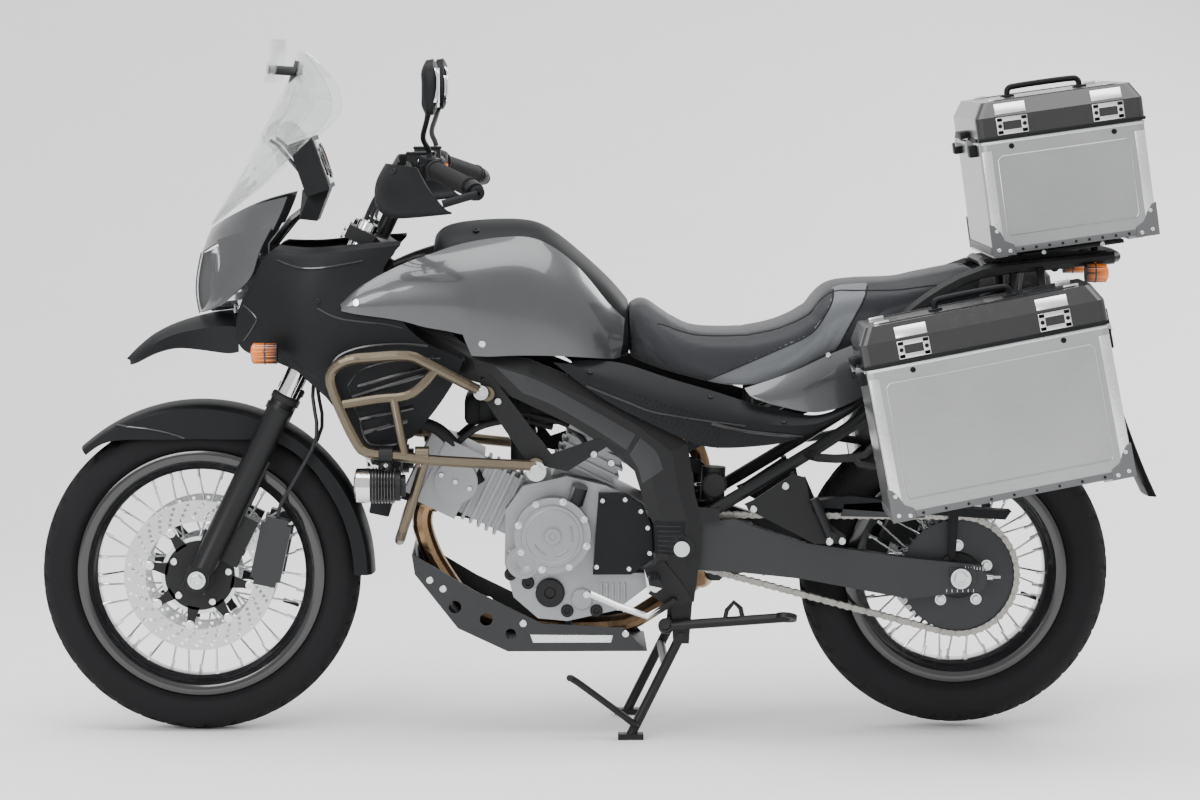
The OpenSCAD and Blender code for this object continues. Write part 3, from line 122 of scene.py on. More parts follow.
TYRE = finish("tyre_rubber", (0.011, 0.011, 0.012), 0.78, grain=500, bump=0.2, vary=0.25)
RUBBER = finish("soft_rubber", (0.016, 0.016, 0.017), 0.62, grain=350, bump=0.1)
GLOSS = finish("gloss_black_enamel", (0.008, 0.008, 0.009), 0.16, grain=90, bump=0.02, coat=0.6)
BLACK = finish("satin_black_coat", (0.0075, 0.0077, 0.0085), 0.42, 0.0, grain=900, bump=0.12, vary=0.2)
CHARCOAL = finish("charcoal_coat", (0.028, 0.029, 0.031), 0.42, 0.35, grain=900, bump=0.12)
PLASTIC = finish("grained_black_plastic", (0.0065, 0.007, 0.008), 0.5, grain=700, bump=0.22, vary=0.2)
SMOOTH = finish("smooth_black_plastic", (0.012, 0.012, 0.013), 0.26, grain=60, bump=0.02, coat=0.3)
GREYPL = finish("grey_moulded_plastic", (0.10, 0.102, 0.106), 0.5, grain=600, bump=0.15)
PAINT = finish("metallic_grey_lacquer", (0.066, 0.068, 0.072), 0.34, 0.7, grain=2200, bump=0.05,
               vary=0.2, coat=0.9)
STEEL = finish("bright_steel", (0.62, 0.63, 0.64), 0.24, 1.0, grain=400, bump=0.05)
DISC = finish("ground_disc_steel", (0.55, 0.555, 0.56), 0.27, 1.0, grain=500, bump=0.1)
CHROME = finish("hard_chrome", (0.75, 0.75, 0.77), 0.09, 1.0, grain=120, bump=0.01, vary=0.04)
CAST = finish("cast_alloy", (0.27, 0.275, 0.285), 0.42, 0.85, grain=650, bump=0.3, vary=0.15)
SHEET = finish("brushed_alloy_sheet", (0.40, 0.405, 0.41), 0.33, 0.95, grain=60, bump=0.12, vary=0.1,
               stretch=(0.4, 1, 22))
BRIGHT = finish("anodised_strip", (0.72, 0.725, 0.73), 0.28, 0.9, grain=400, bump=0.05)
BRONZE = finish("titanium_bronze_tube", (0.135, 0.112, 0.08), 0.33, 0.9, grain=500, bump=0.06)
HEATED = finish("heat_tinted_steel", (0.25, 0.16, 0.09), 0.32, 0.95, grain=200, bump=0.06, vary=0.35)
CHAIN = finish("oiled_chain_steel", (0.30, 0.29, 0.27), 0.34, 0.95, grain=300, bump=0.1, vary=0.3)
VINYL = finish("dark_vinyl", (0.020, 0.021, 0.024), 0.52, grain=900, bump=0.3, vary=0.15, sheen=0.1)
VINYL2 = finish("grey_vinyl", (0.115, 0.12, 0.13), 0.5, grain=900, bump=0.3, vary=0.12, sheen=0.1)
THREAD = finish("seam_thread", (0.02, 0.02, 0.021), 0.8, grain=900, bump=0.3)
ORANGE = finish("orange_lens", (0.72, 0.17, 0.012), 0.15, grain=80, bump=0.03, coat=0.5)
RED = finish("red_lens", (0.33, 0.012, 0.01), 0.14, grain=80, bump=0.03, coat=0.6)
LENS = finish("lamp_reflector", (0.62, 0.64, 0.67), 0.13, 0.8, grain=30, bump=0.02, coat=0.9)
MIRROR = finish("mirror_glass", (0.8, 0.82, 0.84), 0.03, 1.0, grain=30, bump=0.0, vary=0.02)
SCREEN = glassy("clear_screen", (0.70, 0.74, 0.76), alpha=0.38)
SPRING = finish("spring_enamel", (0.02, 0.02, 0.022), 0.3, grain=200, bump=0.05, coat=0.3)
BRAID = finish("hose_sleeve", (0.02, 0.02, 0.022), 0.45, grain=900, bump=0.35, stretch=(1, 1, 1))
FLOORM = finish("studio_floor", (0.93, 0.93, 0.93), 0.7, grain=30, bump=0.01, vary=0.01)
DISPLAY = finish("dash_glass", (0.01, 0.011, 0.013), 0.08, grain=60, bump=0.0, coat=0.8)


# ---------- mesh builder ----------

class Mesh:
    """Collects vertices and faces of one piece, in metres."""

    def __init__(self):
        self.v, self.f, self.m = [], [], []

    def add(self, v, f, m=0):
        base = len(self.v)
        self.v += [tuple(p) for p in v]
        self.f += [tuple(i + base for i in q) for q in f]
        self.m += [m] * len(f)

    def lathe(self, p, axis, profile, n=24, m=0, turn=0.0):
        """Profile of (distance along axis, radius) turned about axis through p."""
        w = Vector(axis).normalized()
        u = w.orthogonal().normalized()
        x = w.cross(u)
        p = Vector(p)
        v = [p + w * t + (u * math.cos(turn + 2 * math.pi * k / n) + x * math.sin(turn + 2 * math.pi * k / n)) * r
             for t, r in profile for k in range(n)]
        f = [(i * n + k, i * n + (k + 1) % n, (i + 1) * n + (k + 1) % n, (i + 1) * n + k)
             for i in range(len(profile) - 1) for k in range(n)]
        if profile[0][1] > 1e-7:
            f.append(tuple(reversed(range(n))))
        if profile[-1][1] > 1e-7:
            f.append(tuple((len(profile) - 1) * n + k for k in range(n)))
        self.add(v, f, m)

    def rod(self, a, b, r, n=20, m=0, c=None):
        a, b = Vector(a), Vector(b)
        h = (b - a).length
        c = min(r * 0.15, h * 0.2, 0.0012) if c is None else c
        self.lathe(a, b - a, [(0, r - c), (c, r), (h - c, r), (h, r - c)], n, m)

    def tube(self, pts, r, n=10, m=0):
        """Round tube along points; r a number or one per point."""
        pts = [Vector(p) for p in pts]
        k = len(pts)
        rs = r if isinstance(r, (list, tuple)) else [r] * k
        t = [(pts[min(i + 1, k - 1)] - pts[max(i - 1, 0)]).normalized() for i in range(k)]
        u = t[0].orthogonal().normalized()
        v = []
        for i in range(k):
            u = (u - t[i] * u.dot(t[i])).normalized()
            w = t[i].cross(u)
            v += [pts[i] + (u * math.cos(2 * math.pi * j / n) + w * math.sin(2 * math.pi * j / n)) * rs[i]
                  for j in range(n)]
        f = [(i * n + j, i * n + (j + 1) % n, (i + 1) * n + (j + 1) % n, (i + 1) * n + j)
             for i in range(k - 1) for j in range(n)]
        f += [tuple(reversed(range(n))), tuple((k - 1) * n + j for j in range(n))]
        self.add(v, f, m)

    def box(self, c, size, rot=None, bevel=0.001, m=0):
        bm = bmesh.new()
        bmesh.ops.create_cube(bm, size=1)
        bmesh.ops.scale(bm, vec=size, verts=bm.verts)
        if bevel:
            bmesh.ops.bevel(bm, geom=bm.edges[:], offset=min(bevel, min(size) * 0.45), segments=2,
                            affect="EDGES", profile=0.5)
        if rot is not None:
            bmesh.ops.transform(bm, matrix=rot.to_4x4(), verts=bm.verts)
        bmesh.ops.translate(bm, vec=c, verts=bm.verts)
        bm.verts.index_update()
        self.add([v.co for v in bm.verts], [[v.index for v in f.verts] for f in bm.faces], m)
        bm.free()

    def slab(self, pts, y0, y1, bevel=0.001, m=0, place=None):
        """Outline in X, Z (millimetres) pushed from y0 to y1 (millimetres), its rims chamfered."""
        b = bevel / MM
        k = len(pts)
        area = sum(pts[i][0] * pts[(i + 1) % k][1] - pts[(i + 1) % k][0] * pts[i][1] for i in range(k))
        s = 1 if area > 0 else -1
        inner = []
        for i in range(k):
            a, o, c = Vector(pts[i - 1]), Vector(pts[i]), Vector(pts[(i + 1) % k])
            d1, d2 = (o - a).normalized(), (c - o).normalized()
            nrm = Vector((-(d1.y + d2.y), d1.x + d2.x)) * s
            ln = max(nrm.length, 0.3)
            inner.append(o + nrm / ln * b * min(2 / ln, 1.6))
        sg = 1 if y1 > y0 else -1
        rings = [(inner, y0), (pts, y0 + b * sg), (pts, y1 - b * sg), (inner, y1)]
        v = [(q[0] * MM, y * MM, q[1] * MM) for ring, y in rings for q in ring]
        if place:
            v = [place(Vector(q)) for q in v]
        f = [(r * k + i, r * k + (i + 1) % k, (r + 1) * k + (i + 1) % k, (r + 1) * k + i)
             for r in range(3) for i in range(k)]
        f += [tuple(reversed(range(k))), tuple(3 * k + i for i in range(k))]
        self.add(v, f, m)

    def grid(self, rows, m=0, close=False):
        """Surface through rows of points."""
        k = len(rows[0])
        v = [p for r in rows for p in r]
        f = [(i * k + j, i * k + j + 1, (i + 1) * k + j + 1, (i + 1) * k + j)
             for i in range(len(rows) - 1) for j in range(k - 1)]
        self.add(v, f, m)

    def bolt(self, p, axis, r=0.005, h=0.004, m=0, head="hex"):
        """Socket or hexagon head standing on p."""
        n = 6 if head == "nut" else 16
        ro = r
        if head == "nut":
            self.lathe(p, axis,
                    [(0, ro), (h * 0.85, ro), (h, ro * 0.88), (h, ro * 0.5), (h * 0.7, ro * 0.46),
                                 (h * 0.7, 0)], 6, m)
            self.lathe(p, axis, [(0, ro * 1.35), (h * 0.25, ro * 1.35), (h * 0.25, ro * 0.8)], 20, m)
        else:
            self.lathe(p, axis,
                    [(0, ro), (h * 0.7, ro), (h, ro * 0.82), (h, ro * 0.52), (h * 0.45, ro * 0.45),
                                 (h * 0.45, 0)], n, m)

    def build(self, name, body, slot_name, mats, angle=32, mirror=False, bevel=0, sub=0, thick=0):
        me = bpy.data.meshes.new(name)
        me.from_pydata([tuple(p) for p in self.v], [], self.f)
        me.validate()
        for mt in (mats if isinstance(mats, (list, tuple)) else [mats]):
            me.materials.append(mt)
        if len(me.polygons) == len(self.m):
            me.polygons.foreach_set("material_index", self.m)
        ob = bpy.data.objects.new(name, me)
        bpy.context.scene.collection.objects.link(ob)
        bm = bmesh.new()
        bm.from_mesh(me)
        bmesh.ops.remove_doubles(bm, verts=bm.verts, dist=1e-6)
        if mirror:
            g = bmesh.ops.duplicate(bm, geom=bm.verts[:] + bm.edges[:] + bm.faces[:])["geom"]
            vs = [e for e in g if isinstance(e, bmesh.types.BMVert)]
            for q in vs:
                q.co.y = -q.co.y
            bmesh.ops.reverse_faces(bm, faces=[e for e in g if isinstance(e, bmesh.types.BMFace)])
        bmesh.ops.recalc_face_normals(bm, faces=bm.faces)
        bm.to_mesh(me)
        bm.free()
        me.polygons.foreach_set("use_smooth", [True] * len(me.polygons))
        me.set_sharp_from_angle(angle=math.radians(angle))
        if thick:
            md = ob.modifiers.new("skin", "SOLIDIFY")
            md.thickness = thick
            md.offset = 0
        if bevel:
            md = ob.modifiers.new("rounding", "BEVEL")
            md.width = bevel
            md.segments = 2
            md.limit_method = "ANGLE"
        if sub:
            md = ob.modifiers.new("smooth", "SUBSURF")
            md.levels = md.render_levels = sub
        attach(ob, body)
        return ob


def mm(*p):
    return Vector(p) * MM


def spline(pts, n=6):
    """Smooth line through points."""
    p = [Vector(q) for q in pts]
    out = []
    for i in range(len(p) - 1):
        a, b, c, d = p[max(i - 1, 0)], p[i], p[i + 1], p[min(i + 2, len(p) - 1)]
        for k in range(n):
            t = k / n
            out.append(0.5 * ((2 * b) + (c - a) * t + (2 * a - 5 * b + 4 * c - d) * t * t
                              + (3 * b - a - 3 * c + d) * t ** 3))
    return out + [p[-1]]


def turned(deg):
    return Matrix.Rotation(math.radians(deg), 3, "Y")


# ---------- CAD nodes: materials and shading ----------

DRESS = {
    "front_tyre": TYRE, "rear_tyre": TYRE, "front_rim": GLOSS, "rear_rim": GLOSS, "front_hub": STEEL,
    "rear_hub": STEEL, "front_discs": DISC, "rear_disc": DISC, "rear_sprocket": CHARCOAL,
    "front_axle": STEEL, "rear_axle": STEEL, "fork_yokes": BLACK, "fork_stanchions": CHROME,
    "fork_sliders": BLACK, "front_calipers": CHARCOAL, "rear_caliper": CHARCOAL, "handlebar": BLACK,
    "mirrors": PLASTIC, "handguards": PLASTIC, "front_fender": PLASTIC, "brake_hoses": BRAID,
    "main_frame": BLACK, "subframe": BLACK, "crankcase": CAST, "cylinders": CAST,
    "engine_covers": CAST, "radiator": PLASTIC, "exhaust": HEATED, "silencer": CHARCOAL,
    "skid_plate": CHARCOAL, "crash_bars": BRONZE, "fog_lamps": BLACK, "fuel_tank": PLASTIC,
    "tank_cowls": PAINT, "side_fairings": PLASTIC, "nose_cowl": PAINT, "beak": PLASTIC,
    "headlamp": SMOOTH, "windscreen": SCREEN, "instrument_panel": PLASTIC, "seat": VINYL,
    "side_covers": PLASTIC, "tail_cowls": PAINT, "rear_carrier": BLACK, "rear_fender": PLASTIC,
    "indicators": ORANGE, "shock_absorber": BLACK, "swingarm": CHARCOAL, "drive_chain": CHAIN,
    "chain_guard": PLASTIC, "footrests": BLACK, "case_racks": BLACK, "left_pannier": SHEET,
    "right_pannier": SHEET, "left_pannier_lid": SMOOTH, "right_pannier_lid": SMOOTH,
    "top_box": SHEET, "top_box_lid": SMOOTH, "side_stand": BLACK, "centre_stand": BLACK,
}


def repaint(node, mat, test):
    """Second material on the faces of a node whose centre passes the test."""
    me = NODES[node].data
    me.materials.append(mat)
    k = len(me.materials) - 1
    for p in me.polygons:
        if test(p.center):
            p.material_index = k


for name, mat in DRESS.items():
    ob = NODES[name]
    ob.data.materials.clear()
    ob.data.materials.append(mat)
    for p in ob.data.polygons:
        p.material_index = 0
    md = ob.modifiers.new("weld", "WELD")
    md.merge_threshold = 0.00002

TREES = {}


def touch(node, start, way):
    """Where a ray from start meets a node, and the surface normal there."""
    if node not in TREES:
        ob = NODES[node]
        mw = ob.matrix_world
        TREES[node] = BVHTree.FromPolygons([mw @ v.co for v in ob.data.vertices],
                                           [tuple(p.vertices) for p in ob.data.polygons])
    hit, nrm, _, _ = TREES[node].ray_cast(Vector(start), Vector(way).normalized())
    return hit, nrm


def stud(m, node, x, z, side, r=0.006, h=0.003, mat=0, head="hex", far=700):
    """Screw head on the side of a node at x, z (millimetres)."""
    hit, nrm = touch(node, mm(x, side * far, z), (0, -side, 0))
    if hit is not None:
        if nrm.y * side < 0:
            nrm = -nrm
        m.bolt(hit - nrm * 0.0004, nrm, r, h, mat, head)


def side_bolt(m, node, x, z, side, r, h, sink=0.0004):
    """Screw head square to the side of a node, in place of the surface normal."""
    hit, _ = touch(node, mm(x, side * 400, z), (0, -side, 0))
    if hit is not None:
        m.bolt(hit - Vector((0, side * sink, 0)), (0, side, 0), r, h)


def seam(m, node, pts, side, r=0.0016, mat=0, far=700, n=6, lift=0.0):
    """Thin bead laid on the side of a node along x, z points (millimetres)."""
    got = []
    for p in spline([(a, 0, b) for a, b in pts], n):
        hit, nrm = touch(node, mm(p.x, side * far, p.z), (0, -side, 0))
        if hit is not None:
            got.append(hit + Vector((0, side * lift, 0)))
    if len(got) > 2:
        m.tube(got, r, 6, mat)


def smoothed(node, body, angle=38, join=True, sub=1):
    """Rounded copy of a CAD node, hard edges kept by crease, shown in its place."""
    src = NODES[node]
    me = src.data.copy()
    me.transform(src.matrix_world)
    bm = bmesh.new()
    bm.from_mesh(me)
    bmesh.ops.remove_doubles(bm, verts=bm.verts, dist=0.00006)
    bmesh.ops.dissolve_degenerate(bm, edges=bm.edges, dist=0.00002)
    if join:
        bmesh.ops.join_triangles(bm, faces=[f for f in bm.faces if len(f.verts) == 3],
                                 angle_face_threshold=math.radians(25),
                                 angle_shape_threshold=math.radians(50))
    crease = bm.edges.layers.float.get("crease_edge") or bm.edges.layers.float.new("crease_edge")
    for e in bm.edges:
        hard = len(e.link_faces) != 2 or e.calc_face_angle(0) > math.radians(angle)
        e[crease] = 1.0 if hard else 0.0
        e.smooth = not hard
    bm.to_mesh(me)
    bm.free()
    me.polygons.foreach_set("use_smooth", [True] * len(me.polygons))
    ob = bpy.data.objects.new(node + "_smooth", me)
    bpy.context.scene.collection.objects.link(ob)
    if sub:
        md = ob.modifiers.new("smooth", "SUBSURF")
        md.levels = md.render_levels = sub
    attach(ob, body)
    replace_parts(ob, node)
    return ob


# ---------- stage, light, camera ----------

scene = bpy.context.scene
world = bpy.data.worlds.new("studio")
scene.world = world
world.use_nodes = True
world.node_tree.nodes["Background"].inputs["Color"].default_value = (1, 1, 1, 1)
world.node_tree.nodes["Background"].inputs["Strength"].default_value = 1.0

floor = Mesh()
floor.grid([[(x, y, 0 if y > -3 else (-(y + 3)) ** 2 * 0.25) for x in (-14, -4, 4, 14)]
            for y in [12, 4, 0, -3] + [-3 - 0.7 * k for k in range(1, 12)]])
fm = bpy.data.meshes.new("floor")
fm.from_pydata(floor.v, [], floor.f)
fm.materials.append(FLOORM)
fm.polygons.foreach_set("use_smooth", [True] * len(fm.polygons))
floor = bpy.data.objects.new("floor", fm)
scene.collection.objects.link(floor)


def lamp(name, place, target, size, power):
    d = bpy.data.lights.new(name, "AREA")
    d.shape = "RECTANGLE"
    d.size, d.size_y = size
    d.energy = power
    o = bpy.data.objects.new(name, d)
    o.location = place
    o.rotation_euler = (Vector(target) - Vector(place)).to_track_quat("-Z", "Y").to_euler()
    scene.collection.objects.link(o)


lamp("overhead", (0, 0.6, 4.2), (0, 0, 0.5), (5, 3), 230)
lamp("key", (2.6, 5.0, 3.0), (0, 0, 0.7), (3, 2.4), 210)
lamp("rim", (-3.5, -3.5, 3.0), (0, 0, 0.7), (3, 2), 130)

YAW, PITCH = -0.01674, 0.09287
EYE = Vector((0.1193, 7.683, 1.400))
cam_data = bpy.data.cameras.new("camera")
cam_data.sensor_width = SENSOR
cam_data.lens = PHOTO_FOCAL / PHOTO_WIDE * SENSOR
camera = bpy.data.objects.new("camera", cam_data)
camera.location = EYE
look = Vector((math.sin(YAW) * math.cos(PITCH), -math.cos(YAW) * math.cos(PITCH), -math.sin(PITCH)))
camera.rotation_euler = look.to_track_quat("-Z", "Y").to_euler()
scene.collection.objects.link(camera)
scene.camera = camera

# ---------- wheels ----------

FRONT = dict(x=FX, z=FZ, r=329, w=110, bead=241, rim=64, disc_y=65)
REAR = dict(x=RX, z=RZ, r=321, w=150, bead=216, rim=102, disc_y=84)


def tread(u, v, w):
    """Depth of the tread pattern, 0 to 1, at turn u (in blocks) and lateral place v (-1 to 1)."""
    a = abs(v)
    wave = (u + 0.35 * a * (1 if v > 0 else -1)) % 1.0
    if a < 0.07:
        return 0.0
    if a < 0.13:
        return 1.0
    if a < 0.52:
        return 1.0 if abs(wave - 0.5 + 0.25 * (a - 0.3)) < 0.085 else 0.0
    if a < 0.58:
        return 0.9 if wave < 0.62 else 0.0
    if a < 0.86:
        return 1.0 if wave < 0.2 else 0.0
    return 0.0


def tyre(name, node, body, g):
    half = [(g["bead"] + 0.8, g["rim"] / 2 - 1.6), (g["bead"] + 14, g["rim"] / 2 - 1.6),
            (g["bead"] + 0.3 * (g["r"] - g["bead"]), g["w"] / 2 - 3.4),
            (g["bead"] + 0.55 * (g["r"] - g["bead"]), g["w"] / 2 - 0.3),
            (g["r"] - 0.2 * g["w"], g["w"] * 0.458), (g["r"] - 0.08 * g["w"], g["w"] * 0.318),
            (g["r"] - 0.02 * g["w"], g["w"] * 0.159), (g["r"] - 0.2, 0)]
    line = [(p.x, p.y) for p in spline([(a, b, 0) for a, b in half], 7)]
    full = line + [(r, -y) for r, y in reversed(line[:-1])]
    turns, blocks, crown = 432, 36, g["w"] * 0.47
    rings = []
    for k in range(turns):
        a = 2 * math.pi * k / turns
        ring = []
        for r, y in full:
            v = y / crown
            cut = tread(k * blocks / turns, v,
                    g["w"]) if abs(v) < 0.9 and r > g["r"] - 0.26 * g["w"] else 0
            if g["bead"] + 22 < r < g["bead"] + 24.5 or g["bead"] + 36 < r < g["bead"] + 37.2:
                y += 0.6 if y > 0 else -0.6
            rr = r - 4.6 * cut
            ring.append(mm(g["x"] + rr * math.cos(a), y, g["z"] + rr * math.sin(a)))
        rings.append(ring)
    m = Mesh()
    n = len(full)
    m.add([p for r in rings for p in r],
          [(k * n + i, k * n + i + 1, ((k + 1) % turns) * n + i + 1, ((k + 1) % turns) * n + i)
           for k in range(turns) for i in range(n - 1)] +
          [(k * n + n - 1, k * n, ((k + 1) % turns) * n,
          ((k + 1) % turns) * n + n - 1) for k in range(turns)])
    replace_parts(m.build(name, body, "tyre", TYRE, angle=40), node)


tyre("front_tyre_treaded", "front_tyre", "front_wheel", FRONT)
tyre("rear_tyre_treaded", "rear_tyre", "rear_wheel", REAR)


def drilled(name, x, z, y, rings, holes, thick, body, mat, node=None):
    """Flat ring with round holes: rings (outer, inner) radii, holes (radius, pitch radius, count, phase)."""
    cu = bpy.data.curves.new(name, "CURVE")
    cu.dimensions = "2D"
    cu.fill_mode = "BOTH"
    cu.extrude = thick / 2 * MM
    cu.bevel_depth = 0.0003
    cu.resolution_u = 1

    def circle(cx, cy, r, n):
        s = cu.splines.new("POLY")
        s.points.add(n - 1)
        for i in range(n):
            a = 2 * math.pi * i / n
            s.points[i].co = ((cx + r * math.cos(a)) * MM, (cy + r * math.sin(a)) * MM, 0, 1)
        s.use_cyclic_u = True
    for r in rings:
        circle(0, 0, r, 120)
    for r, pr, n, ph in holes:
        for i in range(n):
            a = 2 * math.pi * (i + ph) / n
            circle(pr * math.cos(a), pr * math.sin(a), r, 12)
    tmp = bpy.data.objects.new("tmp", cu)
    scene.collection.objects.link(tmp)
    me = bpy.data.meshes.new_from_object(tmp.evaluated_get(bpy.context.evaluated_depsgraph_get()))
    bpy.data.objects.remove(tmp)
    me.transform(Matrix.Translation(mm(x, y, z)) @ Matrix.Rotation(math.radians(90), 4, "X"))
    me.materials.clear()
    me.materials.append(mat)
    ob = bpy.data.objects.new(name, me)
    scene.collection.objects.link(ob)
    me.polygons.foreach_set("use_smooth", [True] * len(me.polygons))
    me.set_sharp_from_angle(angle=math.radians(30))
    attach(ob, body)
    if node:
        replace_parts(ob, node)
    return ob


def disc_holes(r0, r1, per):
    return [(4.0, r0 + (r1 - r0) * (0.18 + 0.21 * k), per, 0.25 * k) for k in range(4)]


fd = [drilled(f"front_disc_ring_{'rl'[s > 0]}", 816, 329, s * 65, (155, 112), disc_holes(112, 155, 30),
        4.6,
              "front_wheel", DISC) for s in (1, -1)]
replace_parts(fd[0], "front_discs")
drilled("rear_disc_ring", -744, 331, -84, (130, 93), disc_holes(93, 130, 26), 4.6, "rear_wheel",
             DISC, "rear_disc")


def carrier(m, x, z, y, out, side, arms, hub_r, top):
    """Spoked disc carrier with silver bobbins and hub bolts."""
    for k in range(arms):
        a = 2 * math.pi * k / arms + 0.2
        u = Vector((math.cos(a), 0, math.sin(a)))
        w = Vector((-math.sin(a), 0, math.cos(a)))
        c = mm(x, y, z)
        pts = [(hub_r, -13), (top - 12, -8), (top + 1, -9), (top + 1, 9), (top - 12, 8), (hub_r, 13)]
        lo = [c + u * p * MM + w * q * MM + Vector((0, -2.3 * MM, 0)) for p, q in pts]
        hi = [v + Vector((0, 4.6 * MM, 0)) for v in lo]
        n = len(pts)
        m.add(lo + hi, [tuple(range(n)), tuple(range(2 * n - 1, n - 1, -1))] +
              [(i, (i + 1) % n, n + (i + 1) % n, n + i) for i in range(n)], 0)
        m.lathe(c + u * (out - 5) * MM + Vector((0, side * 1.5 * MM, 0)), (0, side, 0),
                [(0, 0.0092), (0.0022, 0.0092), (0.003, 0.0075), (0.003, 0.004), (0.0018, 0)], 20, 1)
    m.lathe(mm(x, y - 2.3, z), (0, 1, 0),
            [(0, 0.046), (0, (hub_r + 6) * MM), (0.0046, (hub_r + 6) * MM),
                                          (0.0046, 0.046)], 48, 0)
    for k in range(5):
        a = 2 * math.pi * k / 5 + 0.5
        m.bolt(mm(x + 60 * math.cos(a), y + side * 2.3, z + 60 * math.sin(a)), (0, side, 0), 0.0075,
                0.005, 1)


for s in (1, -1):
    c = Mesh()
    carrier(c, FX, FZ, s * 65, 110, s, 8, 66, 106)
    c.build(f"front_disc_carrier_{'rl'[s > 0]}", "front_wheel", "black_metal", [BLACK, BRIGHT])
c = Mesh()
carrier(c, RX, RZ, -84, 96, -1, 6, 62, 88)
c.build("rear_disc_carrier", "rear_wheel", "black_metal", [BLACK, BRIGHT])


def wheel_trim(name, body, g, step_y, y_out, lead_y, skew):
    m = Mesh()
    for i in range(36):
        side = 1 if i % 2 == 0 else -1
        lead = 1 if (i // 2) % 2 == 0 else -1
        b = math.radians(i * 10 + lead * skew)
        r1 = g["bead"] - 27
        p = mm(g["x"] + r1 * math.cos(b), side * (y_out + lead * lead_y), g["z"] + r1 * math.sin(b))
        d = -Vector((math.cos(b), 0, math.sin(b)))
        m.lathe(p - d * 0.001, d,
                [(0, 0.0044), (0.003, 0.0044), (0.0035, 0.0034), (0.017, 0.0031), (0.018, 0.0022)],
                8, 0)
    # tyre valve
    r = g["bead"] - 29
    a = math.radians(200)
    p = mm(g["x"] + r * math.cos(a), 0.0, g["z"] + r * math.sin(a))
    m.lathe(p, -Vector((math.cos(a), 0, math.sin(a))),
            [(0, 0.004), (0.022, 0.004), (0.024, 0.0046), (0.034, 0.0046), (0.035, 0.003)], 12, 1)
    m.build(name, body, "steel", [BRIGHT, RUBBER])


wheel_trim("front_nipples", "front_wheel", FRONT, 31, 10, 5, 22)
wheel_trim("rear_nipples", "rear_wheel", REAR, 37, 14, 5, 22)

# hub steps and axle nuts
m = Mesh()
for s in (1, -1):
    m.lathe(mm(FX, s * 40, FZ), (0, s, 0),
            [(0, 0.040), (0.003, 0.042), (0.018, 0.042), (0.0205, 0.040)], 40, 0)
    m.lathe(mm(FX, s * 62, FZ), (0, s, 0),
            [(0, 0.0300), (0.010, 0.030), (0.012, 0.024), (0.020, 0.021)], 36, 1)
m.build("front_hub_steps", "front_wheel", "steel", [CAST, BLACK])
m = Mesh()
for s in (1, -1):
    m.bolt(mm(FX, s * 139.2, FZ), (0, s, 0), 0.0135, 0.009, 0, "nut")
m.build("front_axle_nuts", "steering", "steel", STEEL)
m = Mesh()
for s in (1, -1):
    m.slab([(-722, 352), (-722, 312), (-770, 312), (-778, 322), (-778, 342), (-770, 352)], s * 146.2,
            s * 149.4, 0.001, 1)
    m.bolt(mm(RX, s * 156.5, RZ), (0, s, 0), 0.0155, 0.010, 0, "nut")
    m.bolt(mm(-790, s * 132, 331), (-1, 0, 0), 0.0065, 0.02, 0)
    for k in range(6):
        m.box(mm(-716 - 11 * k, s * 146.6, 305), (0.0012, 0.0008, 0.006), None, 0, 0)
m.build("chain_adjusters", "chassis", "steel", [STEEL, CHARCOAL])

# ---------- chain and sprocket ----------

PITCH = 15.875
R1 = PITCH / 2 / math.sin(math.pi / 48)
R2 = PITCH / 2 / math.sin(math.pi / 15)
C1, C2 = Vector((RX, RZ)), Vector((-92, 420))


def chain_line():
    d = C2 - C1
    ln = d.length
    th = math.atan2(d.y, d.x)
    al = math.acos((R1 - R2) / ln)
    a_top, a_bot = th + al, th - al
    straight = math.sqrt(ln * ln - (R1 - R2) ** 2)
    arc1 = R1 * (2 * math.pi - 2 * al)
    arc2 = R2 * 2 * al
    total = arc1 + arc2 + 2 * straight

    def at(s):
        s %= total
        if s < straight:
            p = C1 + R1 * Vector((math.cos(a_top), math.sin(a_top)))
            q = C2 + R2 * Vector((math.cos(a_top), math.sin(a_top)))
            return p.lerp(q, s / straight)
        s -= straight
        if s < arc2:
            a = a_top - s / R2
            return C2 + R2 * Vector((math.cos(a), math.sin(a)))
        s -= arc2
        if s < straight:
            p = C2 + R2 * Vector((math.cos(a_bot), math.sin(a_bot)))
            q = C1 + R1 * Vector((math.cos(a_bot), math.sin(a_bot)))
            return p.lerp(q, s / straight)
        s -= straight
        a = a_bot - s / R1
        return C1 + R1 * Vector((math.cos(a), math.sin(a)))
    return at, total


at, total = chain_line()
links = round(total / PITCH / 2) * 2
m = Mesh()
CHAIN_Y = 97
for k in range(links):
    p, q = at(total * k / links), at(total * (k + 1) / links)
    d = (q - p).normalized()
    n = Vector((-d.y, d.x))
    wide, y_off, t = (7.0, 5.4, 1.9) if k % 2 else (7.3, 8.4, 1.9)
    ol = []
    for ctr, sgn in ((p, -1), (q, 1)):
        for j in range(7):
            a = -math.pi / 2 + math.pi * j / 6
            ol.append(ctr + (d * math.cos(a) * sgn + n * math.sin(a) * sgn) * (wide - 0.3))
        mid = (p + q) / 2
        ol.append(mid + n * sgn * (wide - 1.9))
    for s in (1, -1):
        m.slab([(o.x, o.y) for o in ol], CHAIN_Y + s * (y_off - t / 2), CHAIN_Y + s * (y_off + t / 2),
                0.0003, 0)
    m.lathe(mm(p.x, CHAIN_Y - 9.8, p.y), (0, 1, 0),
            [(0, 0.0018), (0.0004, 0.0026), (0.0192, 0.0026), (0.0196, 0.0018)], 10, 0)
    m.lathe(mm(p.x, CHAIN_Y - 4.4, p.y), (0, 1, 0), [(0, 0.0050), (0.0088, 0.0050)], 12, 0)
